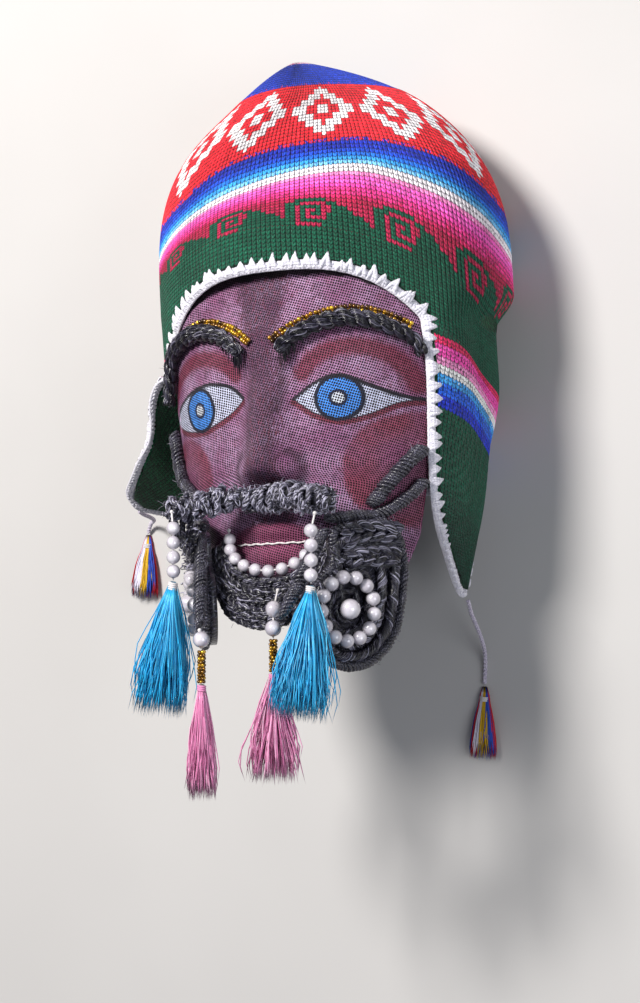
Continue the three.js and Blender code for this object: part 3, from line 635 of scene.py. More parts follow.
def cap_place(angle, y):
    """The cap's surface by angle from the front, in degrees, and height."""
    angle, y = np.broadcast_arrays(np.asarray(angle, float), np.asarray(y, float))
    rise = np.clip((y - CAP_SHOULDER_Y) / (CAP_TIP_Y - CAP_SHOULDER_Y), 0, 1)
    crown = (1 - rise ** 2.7) ** 0.87
    turn = np.abs(angle)
    behind_ear = ease(turn, 56, 84) * (1 - ease(turn, 130, 165))
    upper = behind_ear * ease(-y, -48, -30)
    lower = behind_ear * ease(-y, -5, 60)
    wide = crown * (1 - 0.1 * upper - 0.12 * lower)
    deep = crown * (1 - 0.2 * upper - 0.3 * lower)
    turn = np.radians(angle)
    depth = np.where(np.cos(turn) > 0, CAP_FRONT_DEPTH, CAP_BACK_DEPTH)
    lean = CAP_TIP_LEAN * np.clip((y - 142) / (CAP_TIP_Y - 142), 0, 1) ** 2
    x = CAP_SHIFT_X + CAP_HALF_WIDTH * wide * np.sin(turn) - lean
    z = CAP_AXIS_Z + depth * deep * np.cos(turn)
    t = np.clip((-z - BACK_EASE_START) / (BACK_EASE_END - BACK_EASE_START), 0, 1)
    drop = HEAD_AXIS_HEIGHT - BACK_EASE_START
    run = BACK_EASE_END - BACK_EASE_START
    flat = -BACK_EASE_START - drop * (3 * t**2 - 2 * t**3) - run * (t**3 - 2 * t**2 + t)
    return np.stack([x, y, np.where(z > -BACK_EASE_START, z, flat)], axis=-1)


def cap_edge(angle):
    """Height of the cap's edge at an angle: an arch in front, then down to the nape."""
    turn = np.abs(angle)
    front_turn = np.sign(angle) * np.minimum(turn, FLAP_FRONT_ANGLE) - FRONT_ARCH_TURN
    drop = FRONT_ARCH_DROP * (np.abs(front_turn) / FLAP_FRONT_ANGLE) ** 2.8
    arch = FRONT_ARCH_Y + 2 * EDGING_HALF_WIDTH - drop
    back = np.clip((turn - FLAP_FRONT_ANGLE) / (FLAP_BACK_ANGLE - FLAP_FRONT_ANGLE), 0, 1)
    return arch + (NAPE_Y - arch) * back


def knit_angles():
    """Angle of each column of the knit, a fixed number of wales to each stretch of the edge."""
    marks = [-FLAP_FRONT_ANGLE, FLAP_FRONT_ANGLE, FLAP_BACK_ANGLE, 360 - FLAP_BACK_ANGLE,
             360 - FLAP_FRONT_ANGLE]
    angles = []
    stretches = (FRONT_COLUMNS, FLAP_COLUMNS, BACK_COLUMNS, FLAP_COLUMNS)
    for start, end, count in zip(marks, marks[1:], stretches):
        fine = np.linspace(start, end, 400)
        so_far = reach_along(cap_place(np.where(fine > 180, fine - 360, fine), 45))
        wanted = np.linspace(0, so_far[-1], count + 1)
        angles.append(np.interp(wanted, so_far, fine)[:-1])
    return np.append(np.concatenate(angles), marks[-1])


def level_heights(angles):
    """y of each line of LEVELS at each angle, with its corners softened."""
    fine = np.arange(-360, 361)
    near = SOFTENED_DEGREES
    soft = np.hanning(2 * near + 1)
    soft = soft / soft.sum()
    heights = []
    for line in LEVELS.values():
        turn, y = np.array(line, float).T
        wrapped = np.interp((fine + 180) % 360 - 180, turn, y)
        longer = np.concatenate([wrapped[-near - 1:-1], wrapped, wrapped[1:near + 1]])
        heights.append(np.interp(angles, fine, np.convolve(longer, soft, "valid")))
    return np.array(heights)


def stitch_relief(wales):
    """How far the knit stands out across a wale: two legs with a groove between wales."""
    across = np.abs(2 * (wales % 1) - 1)
    return np.sqrt(1 - across**3) - 0.15 * (across < 0.2)


def grid_normals(places):
    """Normals of a grid whose rows run down and columns run to the viewer's right."""
    return unit(np.cross(np.gradient(places, axis=0), np.gradient(places, axis=1)))


def soft_waves(places):
    """Slow unevenness, as knitting has, the same at the same place."""
    x, y, z = np.moveaxis(places, -1, 0)
    waves = np.sin(x / 11 + y / 17) + np.sin(y / 13 - z / 19 + 1) + np.sin(z / 9 + x / 23 + 2)
    return SLOW_RELIEF * waves / 3


def crown_grid(angles):
    """The cap's surface from the tip to its edge, with the wale and row of each place."""
    signed = np.where(angles > 180, angles - 360, angles)
    heights = level_heights(signed)
    levels = np.array(list(LEVELS), float)
    wales = np.arange(len(angles)) / COLUMNS_PER_WALE
    shear = ROW * 0.5 * np.abs(2 * (wales % 1) - 1)
    rows = []
    for height in TIP_HEIGHT - np.arange(CROWN_ROWS + 1) * ROW:
        wanted = np.minimum(height + shear, TIP_HEIGHT)
        rows.append([wanted, [np.interp(w, levels, heights[:, c]) for c, w in enumerate(wanted)]])
    seam = np.array(rows[-1][1])
    edge = cap_edge(signed)
    below = np.diff(heights[:2], axis=0)[0] / levels[1]
    for k in range(1, SIDE_ROWS + 1):
        y = seam + (edge - seam) * k / SIDE_ROWS
        wanted = [
            np.interp(v, heights[:, c], levels) if v > heights[0, c] else (v - heights[0, c]) / below[c]
            for c, v in enumerate(y)]
        rows.append([wanted, y])
    rows = np.array(rows)
    uv = np.stack([np.broadcast_to(wales, rows[:, 0].shape), rows[:, 0] / ROW], axis=-1)
    return cap_place(signed, rows[:, 1]), uv


def cap_pattern(columns, rows):
    """For each face of the crown: 1 where a fret stitch is green, 2 where a red-band stitch is white."""
    marks = np.zeros((rows, columns))
    wale = np.arange(columns) // COLUMNS_PER_WALE
    for row in range(rows):
        from_flap_line = TIP_HEIGHT // ROW - 1 - row
        fret_row = from_flap_line - FRET_START_ROW
        if 0 <= fret_row < len(FRET):
            line = np.array([mark == "G" for mark in FRET[-1 - fret_row]])
            marks[row] = line[(wale - FRET_START_WALE) % len(line)]
        diamond_row = from_flap_line - DIAMOND_START_ROW
        if 0 <= diamond_row < DIAMOND_ROWS:
            marks[row] = 2 * stepped_diamond(wale % DIAMOND_WALES, diamond_row)
    return marks


def stepped_diamond(x, y):
    """A traditional stepped diamond with a filled middle."""
    far = np.abs(x - DIAMOND_WALES // 2)
    up = abs(y - DIAMOND_ROWS // 2)
    out = far / 2 + up // 2
    return (np.abs(out - 3.2) < 1.0) & (out < 4.4) | (far <= 1) & (up <= 1)


def flap_grid(name, top, top_uv):
    """A flap's surface that hangs from a run of the cap's edge, and its wales and rows."""
    flap = FLAPS[name]
    front_is_last = name == "left"
    front_top, back_top = (top[-1], top[0]) if front_is_last else (top[0], top[-1])
    w = np.linspace(1, 0, len(top)) if front_is_last else np.linspace(0, 1, len(top))
    rows = FLAP_ROWS + 1
    front = smooth_line([front_top, *flap["front"], flap["tip"][0]], rows)
    back = smooth_line([back_top, *flap["back"], flap["tip"][1]], rows)
    t = np.linspace(0, 1, rows)[:, None, None]
    w3 = w[None, :, None]
    rim_bow = (top - (front_top + (back_top - front_top) * w[:, None]))[None] * (1 - t) ** 2
    bow = 4 * w3 * (1 - w3) * flap["bow"] * np.sin(math.pi * t) * 0.9
    places = front[:, None] * (1 - w3) + back[:, None] * w3 + rim_bow + np.array([SIDES[name], 0, 0]) * bow
    fall = reach_along(front)[:, None] * (1 - w) + reach_along(back)[:, None] * w
    width = np.linalg.norm(back - front, axis=1)[:, None]
    wales = top_uv[len(top) // 2, 0] + (np.linspace(-0.5, 0.5, len(top)) * width) / WALE
    return places, np.stack([wales, top_uv[None, :, 1] - fall / ROW], axis=-1)


def crown_walls(base, uv):
    """The crown's raised outside and its plainer inside, and which rows the inside keeps."""
    normals = grid_normals(base)
    normals[0] = [0, 1, 0]
    normals[:, -1] = normals[:, 0]
    round_it = np.linalg.norm(np.diff(base, axis=1), axis=2).sum(axis=1)
    fine = np.clip(round_it / round_it.max(), 0, 1)[:, None]
    lift = STITCH_RELIEF * stitch_relief(uv[..., 0]) * fine + soft_waves(base) * fine
    outside = base + normals * lift[..., None]
    outside[..., 2] = np.maximum(outside[..., 2], -HEAD_AXIS_HEIGHT)
    kept = np.unique(np.linspace(0, len(base) - 1, INNER_ROWS).astype(int))
    inside = (base - normals * KNIT)[kept]
    for wall in (outside, inside):
        wall[:, -1] = wall[:, 0]
    return outside, inside, kept


def flap_walls(name, top, top_uv, outer_top, inner_top):
    """A flap's raised outside with its wales and rows, and its lining."""
    flap, uv = flap_grid(name, top, top_uv)
    out = grid_normals(flap)
    out *= np.sign(np.sum(out[:, :, 0])) * SIDES[name]
    raised = flap + out * (STITCH_RELIEF * stitch_relief(uv[..., 0]) + soft_waves(flap))[..., None]
    raised[0] = outer_top
    lining = (flap - out * KNIT)[::LINING_STEP]
    lining[0] = inner_top
    return raised, uv, lining


def knit_cap():
    """The cap with its flaps: a patterned outside, a plain inside, and the wall between them.
    What it gives back are the outer and the inner line of its rim."""
    angles = knit_angles()
    base, uv = crown_grid(angles)
    outside, inside, kept = crown_walls(base, uv)
    marks = cap_pattern(len(angles) - 1, len(base) - 1)
    parts = [(grid_mesh(outside, uv, corners=marks), "knitted_wool"),
             (grid_mesh(inside, uv[kept]), "knitted_wool_inside")]
    last = len(angles) - 1
    runs = {"right": slice(FRONT_COLUMNS, FRONT_COLUMNS + FLAP_COLUMNS + 1),
            "left": slice(last - FLAP_COLUMNS, last + 1)}
    around = {}
    for name, run in runs.items():
        raised, flap_uv, lining = flap_walls(
            name, base[-1, run], uv[-1, run], outside[-1, run], inside[-1, run])
        parts.append((grid_mesh(raised, flap_uv), "knitted_wool"))
        parts.append((grid_mesh(lining, flap_uv[::LINING_STEP]), "knitted_wool_inside"))
        walls = np.stack([raised[::LINING_STEP], lining])
        around[name] = [walls[:, :, 0], walls[:, -1], walls[:, ::-1, -1]]
    crown_edge = np.stack([outside[-1], inside[-1]])
    nape = crown_edge[:, FRONT_COLUMNS + FLAP_COLUMNS:last - FLAP_COLUMNS + 1]
    rim = [crown_edge[:, :FRONT_COLUMNS + 1], *around["right"], nape, *around["left"]]
    for stretch in rim:
        strip_uv = np.stack(np.meshgrid(np.arange(stretch.shape[1]) / 4, [0, 1]), axis=-1)
        parts.append((grid_mesh(stretch, strip_uv), "knitted_wool_inside"))
    mend(piece("knit_cap", parts).data, 2e-6)
    return np.concatenate([stretch[:, :-1] for stretch in rim], axis=1)


# White crochet edging with small points that reach over the knit and shorten down the flaps
EDGING_PLACES = 660
EDGING_PLAIT = 7.5
EDGING_POINT_STEP = 5.6
EDGING_POINT_LENGTH = 4.6
EDGING_POINT_LOOPS = (-2.1, -0.75, 0.75, 2.1)
EDGING_POINT_TAPER = np.array([1.0, 1.05, 1.0, 0.9, 0.75, 0])
FLAP_POINTS_SHORTEN = {"y": (-80, -48), "share": (0.4, 1.0)}


def around_again(line):
    return np.vstack([line, line[:1]])


def softened(line, reach):
    """A closed line with each place the mean of its neighbours."""
    return sum(np.roll(line, k, axis=0) for k in range(-reach, reach + 1)) / (2 * reach + 1)


def rim_frame(outer, inner):
    """The edging's path round the rim, with the ways outward, off the knit and along at each place."""
    rim = around_again((outer + inner) / 2)
    so_far = reach_along(rim)
    wanted = np.linspace(0, so_far[-1], EDGING_PLACES, endpoint=False)
    middle, normal = (
        np.stack([np.interp(wanted, so_far, line[:, k]) for k in range(3)], axis=1)
        for line in (rim, around_again(unit(outer - inner))))
    middle, normal = softened(middle, 3), unit(softened(normal, 4))
    along = unit(np.roll(middle, -2, axis=0) - np.roll(middle, 2, axis=0))
    outward = unit(np.cross(along, normal))
    path = middle + outward * (GAP + EDGING_HALF_WIDTH)
    return so_far[-1], [around_again(line) for line in (path, outward, normal, along)]


def edging_points(rim_length, path, outward, normal, along):
    """Points of four loops each, uneven in length and lean."""
    points = np.linspace(0, EDGING_PLACES, round(rim_length / EDGING_POINT_STEP), endpoint=False)
    points = (points + chance.normal(0, 0.9, len(points))).astype(int) % EDGING_PLACES
    path, outward, normal, along = (line[points][:, None] for line in (path, outward, normal, along))
    one_each = (len(points), 1, 1)
    reach = np.linspace(0, 1, 6)[None, :, None]
    sway = chance.normal(0, 0.7, one_each)
    size = chance.uniform(0.68, 1.16, one_each)
    size = size * np.interp(path[..., 1:2], FLAP_POINTS_SHORTEN["y"], FLAP_POINTS_SHORTEN["share"])
    rise = path + normal * (KNIT / 2 + 0.3) * np.sin(np.minimum(reach * 2.2, 1) * math.pi / 2)
    for base in EDGING_POINT_LOOPS:
        lean = along * (sway * reach**1.5 + base * (1 - reach) + chance.normal(0, 0.2, one_each))
        length = (EDGING_POINT_LENGTH + EDGING_HALF_WIDTH) * (0.86 if abs(base) > 1 else 1)
        spikes = rise + lean + outward * (1.5 - length * size * reach)
        taper = EDGING_POINT_TAPER * chance.uniform(0.85, 1.15, (len(points), 1))
        yield tubes(spikes, taper, 5), "crochet_edging"


def cap_edging(outer, inner):
    """A plait of three along the rim between two straight cords, with the points."""
    length, (path, outward, normal, along) = rim_frame(outer, inner)
    share = np.linspace(0, 1, EDGING_PLACES + 1)
    strands = [path + 1.75 * outward, path - 1.6 * outward]
    for k in range(3):
        turn = TURN * (round(length / EDGING_PLAIT) * share + k / 3)[:, None]
        strands.append(path + 1.3 * np.sin(turn) * outward + 0.6 * np.sin(2 * turn) * normal)
    radii = np.array([0.7, 0.75, 1.05, 1.05, 1.05])[:, None] * (1 + 0.07 * np.sin(share * length / 1.1))
    parts = [(tubes(np.array(strands), radii, 6), "crochet_edging")]
    piece("cap_edging", [*parts, *edging_points(length, path, outward, normal, along)])


# Painted wire screen of the face: height, half width and depth of its sections
SCREEN_STATIONS = [
    (-106, 40, 62), (-90, 53, 71), (-68, 67, 74), (-33, 76.5, 77.5), (0, 78.5, 80.5),
    (25, 77.5, 76.5), (43, 75.5, 71), (62, 71.5, 65), (88, 63, 55),
]
SCREEN_HALF_ANGLE = 59
SCREEN_WALL = 1.0
SCREEN_COLUMNS = 120
SCREEN_ROWS = 140
NOSE_TIP_Y = -31
NOSE_RISE = 12
SOCKET_DEPTH = 3.5
LIP_RISE = 3


def screen_relief(x, y):
    bridge = ease(-y, -26, -NOSE_TIP_Y)
    under = 1 - ease(-y, -NOSE_TIP_Y + 2, -NOSE_TIP_Y + 12)
    nose_width = 9 + 12 * np.clip((20 - y) / 52, 0, 1)
    nose = NOSE_RISE * bridge * under * bulge(x, nose_width)
    nose = nose + 2.5 * bulge(x, 12) * bulge(y + 31, 11) + 3.5 * bulge(np.abs(x) - 11, 6.5) * bulge(y + 36, 9)
    socket = -SOCKET_DEPTH * bulge(np.abs(x) - 17, 15) * bulge(y - 1, 20)
    brow_ridge = 3 * bulge(x, 26) * bulge(y - 25, 14)
    lips = LIP_RISE * bulge(x, 30) * (bulge(y + 62, 7) + bulge(y + 74, 8))
    return nose + socket + brow_ridge + lips


def screen_section(y):
    height, width, depth = np.array(SCREEN_STATIONS, float).T
    return np.interp(y, height, width), np.interp(y, height, depth)


def on_screen(x, y, lift=0.0):
    """A place on the screen, by distance from the middle and height, lifted off it."""
    x, y = np.broadcast_arrays(np.asarray(x, float), np.asarray(y, float))

    def place(px, py):
        width, depth = screen_section(py)
        across = np.clip(px / width, -0.999, 0.999)
        return np.stack([px, py, depth * np.sqrt(1 - across**2) + screen_relief(px, py)], axis=-1)

    step = 1.5
    right = place(x + step, y) - place(x - step, y)
    up = place(x, y + step) - place(x, y - step)
    return place(x, y) + unit(np.cross(right, up)) * lift


def screen_line(points, lift, side):
    """Places on one side of the screen, from points given as distance from the middle and height."""
    x, y = np.asarray(points, float).T
    return mirrored(on_screen(x, y, lift), side)


def distance_to(line, x, y):
    """Distance in the plane from each place to a smooth line through the points."""
    fine = smooth_line(line, 40)
    best = np.full(x.shape, 1e9)
    for (ax, ay), (bx, by) in zip(fine, fine[1:]):
        length = (bx - ax) ** 2 + (by - ay) ** 2
        t = np.clip(((x - ax) * (bx - ax) + (y - ay) * (by - ay)) / length, 0, 1)
        best = np.minimum(best, np.hypot(x - ax - t * (bx - ax), y - ay - t * (by - ay)))
    return best


# What is painted on the screen, as x and y; a cheek has a reach too
EYES = {
    "right": {"iris": (34.7, -2.6),
              "upper": [(13.8, -2), (24, 4.8), (34.7, 7.8), (43.4, 4.5), (58, -3), (66, -5.5)],
              "lower": [(13.8, -2), (24.6, -9.4), (34.8, -12.5), (46.2, -10.8), (58, -6.1), (66, -5.5)],
              "arc": [(18.3, 9.9), (25.4, 17.3), (37.5, 21.1), (49.1, 19.1), (57.9, 13.1), (64.7, 1.1)],
              "cheek": (60, -38, 28)},
    "left": {"iris": (-39.4, -3.1),
             "upper": [(-11.2, 0.1), (-20, 6.5), (-33, 8.5), (-46, 6), (-58, 0), (-67, -7)],
             "lower": [(-11.2, 0.1), (-22, -7.5), (-36, -12.5), (-50, -12.5), (-60, -10), (-67, -7)],
             "arc": [(-16, 12), (-24, 18.5), (-37.5, 21.1), (-49.1, 19.1), (-60, 13.1), (-68, 1.1)],
             "cheek": (-54, -35, 20)},
}
IRIS_REACH = 11
CAP_EDGE_SHADE_DEPTH = 2.8
HEM_FLARE = 4.5
NOSTRIL = [(9, -42), (15, -40), (17, -35), (15.5, -29), (12, -26)]
BRIDGE = [(8.5, 17), (9.5, 8), (9, 0), (7.5, -6)]
MOUTH_SPAN = (-22.7, 20.2)
LIP_MIDDLE_Y = -68


def eye_paint(eye, x, y):
    """How deep inside each painted shape of one eye and cheek a place is, in mm, or as a share."""
    upper, lower = (smooth_line(eye[key], 40) for key in ("upper", "lower"))
    order = 1 if upper[-1, 0] > upper[0, 0] else -1
    top = np.interp(x * order, upper[:, 0] * order, upper[:, 1], left=-99, right=-99)
    bottom = np.interp(x * order, lower[:, 0] * order, lower[:, 1], left=99, right=99)
    cheek_x, cheek_y, reach = eye["cheek"]
    return {
        "sclera": np.clip(np.minimum(top - y, y - bottom), -9, 9),
        "iris": IRIS_REACH - np.hypot(x - eye["iris"][0], (y - eye["iris"][1]) * 1.02),
        "lid": 3 - distance_to(eye["upper"], x, y),
        "under_lid": 4 - distance_to(eye["lower"], x, y + 1.2),
        "arc": 9 - distance_to(eye["arc"], x, y),
        "blush": 1 - np.hypot(x - cheek_x, y - cheek_y) / reach,
    }


def cap_edge_shade_paint(x, y):
    """How far inside the painted shade under the cap's edge a place is, measured square to the edge."""
    rim, rim_next = (
        cap_edge(np.degrees(np.arcsin(np.clip((x + step - CAP_SHIFT_X) / CAP_HALF_WIDTH, -0.8, 0.8))))
        for step in (0, 0.5))
    below = (rim - 2 * EDGING_HALF_WIDTH - y) / np.hypot(1, (rim_next - rim) / 0.5)
    return CAP_EDGE_SHADE_DEPTH + 0.5 * np.sin(x / 2.3) + 0.3 * np.sin(x / 0.9) - below


def face_paint(x, y):
    """Numbers over the screen that say where each thing is painted."""
    floors = {"sclera": -9.0, "iris": -9.0, "lid": -9.0, "under_lid": -9.0, "arc": -9.0, "blush": 0.0}
    eyes = [eye_paint(eye, x, y) for eye in EYES.values()]
    numbers = {
        key: np.maximum(floor, np.maximum(eyes[0][key], eyes[1][key])) for key, floor in floors.items()}
    lips = 1 - np.hypot((x + 2) / 23, (y - LIP_MIDDLE_Y) / 10)
    numbers["lips"] = lips - 0.12 * bulge(x + 2, 6) * bulge(y + 58, 5)
    # Painted shade in the creases by the nose's wings and along one side of its bridge.
    numbers["nose_crease_shade"] = 3.6 - np.minimum(distance_to(NOSTRIL, np.abs(x), y), distance_to(BRIDGE, x, y))
    # A dark band painted under the cap's edge: painted shade between the cap and the screen.
    numbers["cap_edge_shade"] = cap_edge_shade_paint(x, y)
    stripe = np.interp(y, [-40, -20, 8, 30, 55, 88], [10.5, 9.5, 8.5, 10.5, 15, 17])
    numbers["stripe"] = stripe - np.abs(x + np.interp(y, [0, 60], [0, 4]))
    return numbers


# The screen's weave: its pitch, and how far its wires are turned on the face
WEAVE_PITCH = 1.18
WEAVE_TURN = math.radians(17)

# Layers of paint: the number that places each, where its edge starts and ends, its cover and colour
# The layers by the nose's creases and under the cap's edge are painted shade.
SKIN_LAYERS = [
    ("under_lid", 2.1, 3.1, 0.85, "7c1a2c"), ("nose_crease_shade", 0.0, 3.4, 0.55, "33202e"),
    ("cap_edge_shade", -0.2, 0.8, 0.9, "0c080c"), ("lips", -0.06, 0.08, 0.85, "94466a"),
]
EYE_LAYERS = [
    ("iris", 6.65, 7.35, 1.0, "16204a"), ("iris", 7.95, 8.65, 1.0, "dfe4ee"),
    ("lid", 1.75, 2.45, 1.0, "1c1c2c"),
]


def gauze_back_painted_shade():
    """The screen's unpainted back, closed and near black: a painted shade for the dark inside that shows
    through the front's holes.
    """
    make = material("gauze_back_painted_shade")
    grain = make.noise(make.surface(), 2.0, 2.0)
    make.finish(make.mix(grain, "060406", "120c12"), grain, 0.1, Roughness=0.8)


def layered(make, colour, layers):
    for name, low, high, cover, code in layers:
        colour = make.mix(make.between(make.number(name), low, high, 0.0, cover), colour, code)
    return colour


def painted_skin(make, where, stripe, streaks, blotch):
    """Lilac ground, dark stripe, red cheeks and arcs, lips, and painted shade in the nose's creases and under
    the cap's edge.
    """
    colour = make.mix(make.between(blotch, 0.3, 0.7), "a26894", "c8a2ca")
    dabs = make.between(make.noise(where, 1.3, 4.0, 0.8), 0.38, 0.62, 0.52, 0.98)
    colour = make.mix(make.times(stripe, dabs), colour, "221b2e")
    blush = make.number("blush")
    faded = make.times(
        make.between(make.scaled(streaks, 0.3, blush), 0.12, 0.24),
        make.between(blotch, 0.3, 0.65, 0.4, 0.85), make.between(blush, 0.75, 0.2, 0.75, 1.0))
    colour = make.mix(faded, colour, "901f38")
    arc = make.scaled(streaks, 3.0, make.number("arc"))
    colour = make.mix(make.between(arc, 4.4, 8.4, 0.0, 0.82), colour, "86203a")
    return layered(make, colour, SKIN_LAYERS)


def painted_eyes(make, where, colour):
    """White, blue ring, pupil and dark outlines."""
    sclera, iris = make.number("sclera"), make.number("iris")
    colour = make.mix(make.between(sclera, -0.35, 0.35), colour, "d4d8f0")
    ring = make.times(make.between(iris, -0.35, 0.35), make.between(sclera, -2.7, -1.7))
    colour = make.mix(ring, colour, "18203c")
    ragged = make.scaled(make.noise(where, 0.9), 1.6, 1.0)
    fill = make.between(make.minus(iris, ragged), -0.3, 0.3)
    colour = layered(make, make.mix(make.times(ring, fill), colour, "4c98f4"), EYE_LAYERS)
    outline = make.times(make.between(sclera, 0.5, 0.0, 0.0, 0.8), make.between(sclera, -0.7, -0.1))
    return make.mix(outline, colour, "2a2030")


def painted_gauze():
    """Paint on a woven wire screen: see-through holes, some of them clogged."""
    make = material("painted_gauze")
    where = make.surface()
    blotch = make.noise(make.place(), 60.0, 4.0)
    turned = make.node("Mapping", {"Vector": where, "Rotation": (0, 0, WEAVE_TURN)}).outputs[0]
    wires = [make.zigzag(make.math("DIVIDE", value, WEAVE_PITCH)) for value in make.split(turned)]
    open_mask = make.math("MINIMUM", *[make.minus(1.0, wire) for wire in wires])
    height = make.math("MAXIMUM", *wires)
    streaks = make.noise(where, (0.9, 0.22, 1), 5.0, 0.75)
    stripe = make.between(make.scaled(streaks, 22.0, make.number("stripe")), 9.0, 15.0)
    colour = painted_eyes(make, where, painted_skin(make, where, stripe, streaks, blotch))
    clogged = make.scaled(make.noise(make.place(), 420.0), 0.5, make.times(stripe, 0.1))
    hole = make.between(make.minus(open_mask, make.minus(clogged, 0.03)), 0.0, 0.08)
    # Painted shade: the paint darkens from the middle of each wire towards the holes.
    colour = make.shaded(colour, make.scaled(height, 0.75, 0.4))
    make.finish(colour, height, 0.35, Roughness=0.6, Alpha=make.minus(1.0, hole))


def screen_grid():
    """The screen's front surface, its outward normals, and its map in millimetres across and up."""
    share = np.linspace(-1, 1, SCREEN_COLUMNS + 1)
    angle = np.radians(SCREEN_HALF_ANGLE) * np.sign(share) * np.abs(share) ** 1.2
    y = np.linspace(SCREEN_STATIONS[-1][0], SCREEN_STATIONS[0][0], SCREEN_ROWS + 1)[:, None]
    width, depth = screen_section(y)
    x = width * np.sin(angle)
    y = np.broadcast_to(y, x.shape)
    flare = HEM_FLARE * ease(cap_edge_shade_paint(x, y), -9, 1) * ease(np.abs(x), 15, 50)
    places = np.stack([x, y, depth * np.cos(angle) + screen_relief(x, y) + flare], axis=-1)
    normals = -grid_normals(places)
    normals *= np.sign(normals[..., 2:].mean())
    across = reach_along(places)
    return places, normals, np.stack([across - across[:, SCREEN_COLUMNS // 2, None], y], axis=-1)


def grid_rim(places):
    """The line once round the edge of a grid."""
    return around_again(np.concatenate([places[0], places[1:, -1], places[-1, -2::-1], places[-2:0:-1, 0]]))


def face_screen():
    places, normals, uv = screen_grid()
    behind = places - normals * SCREEN_WALL
    walls = [grid_mesh(places, uv), grid_mesh(behind, uv)]
    for mesh in walls:
        flat = np.empty(len(mesh.vertices) * 3)
        mesh.vertices.foreach_get("co", flat)
        at = flat.reshape(-1, 3) / MM - HEAD_PLACE
        for key, numbers in face_paint(at[:, 0], at[:, 1]).items():
            keep_numbers(mesh, key, numbers)
    edge = np.array([grid_rim(wall) for wall in (places, behind)])
    rim = grid_mesh(edge, np.zeros(edge.shape[:2] + (2,)))
    x = np.linspace(*MOUTH_SPAN, 60)
    mouth = tube(on_screen(x, LIP_MIDDLE_Y + 0.25 * np.sin(x), 0.7), 0.45 + 0.15 * np.sin(x * 2.4))
    # The back wall is closed and near black: a painted shade behind the holes.
    parts = [(walls[0], "painted_gauze"), (walls[1], "gauze_back_painted_shade"), (rim, "painted_gauze"),
             (mouth, "white_thread")]
    mend(piece("face_screen", parts).data, 1e-6)


# Dark cord: brows, side cords, moustache, beard
def hank(path, radius, fibres, pitch, thickness, spread, stations, bright):
    """A ply of loose fibres: each winds round the path near its surface, some higher, some deeper."""
    path = evenly(path, stations)
    lines = plies(path, np.ones(stations), fibres, pitch) - path
    often, offset = (chance.uniform(*span, (fibres, 1)) for span in ((0.3, 0.9), (0, 6)))
    wave = np.sin(reach_along(path) * often + offset)
    share = 1 - spread * chance.random((fibres, 1)) + 0.5 * spread * wave
    lines = path + lines * (at_stations(radius, stations) * share)[..., None]
    lines = lines + unit(np.gradient(path, axis=0)) * (chance.normal(0, 0.5, (fibres, 1)) * wave)[..., None]
    return tubes(lines, rounded(lines, thickness), 3, shade=chance.random(fibres) + bright), "dark_fibre"


def rope(path, radius, pitch, fibres, core, start, stations, thickness, spread=0.25, bright=0.0):
    """A rope of two twisted plies, each a core with fibres over it."""
    radius = at_stations(radius, stations)
    lines = plies(evenly(path, stations), radius * (1 - core), 2, pitch, start)
    cores = tubes(lines, rounded(lines, radius * core * 0.92), 7, shade=np.full(2, 0.1))
    return [(cores, "dark_cord"),
            *[hank(line, radius * core, fibres, -pitch * 1.6, thickness, spread, stations, bright)
              for line in lines]]


def stray_fibres(path, radius, count, length):
    """Short loose fibres that stand off a cord."""
    picks = chance.integers(0, len(path), count)
    along = unit(np.gradient(path, axis=0))[picks]
    off = unit(np.cross(along, chance.normal(size=(count, 3))))
    way = unit(along * chance.normal(0, 1, (count, 1)) + off * chance.uniform(0.2, 0.9, (count, 1)))
    radius = np.broadcast_to(radius, len(path))[picks][:, None]
    size = length * chance.uniform(0.4, 1, (count, 1, 1))
    t = np.linspace(0, 1, 5)[None, :, None]
    curl = unit(np.cross(way, off))[:, None] * chance.normal(0, 0.4, (count, 1, 1))
    lines = (path[picks] + off * radius * 0.9)[:, None] + way[:, None] * size * t
    lines = lines + (curl * size - off[:, None] * size * 0.3) * t**2
    radii = 0.09 * np.array([0, 1, 1, 0.8, 0])
    return tubes(lines, radii, 3, shade=chance.uniform(0.5, 1.2, count)), "dark_fibre"


def curly_loops(path, radius, count, size):
    """Loose rings of yarn that stand out of a cord here and there."""
    picks = chance.integers(4, len(path) - 4, count)
    along = unit(np.gradient(path, axis=0))[picks]
    off = unit(np.cross(along, chance.normal(size=(count, 3))) + [0, 0, 0.35])
    across = unit(np.cross(off, along) + chance.normal(0, 0.5, (count, 3)))
    turn = np.linspace(0.4, TURN - 0.4, 14)[None, :, None]
    reach = chance.uniform(*size, (count, 1, 1))
    middle = path[picks] + off * np.broadcast_to(radius, len(path))[picks][:, None] * 0.85
    ring = across[:, None] * np.cos(turn + 1) + off[:, None] * 0.7 * np.sin(turn + 1)
    lines = middle[:, None] + reach * (ring + along[:, None] * (turn / 9 - 0.35))
    return tubes(lines, rounded(lines, 0.3), 4, shade=chance.uniform(0.4, 1.1, count)), "dark_fibre"


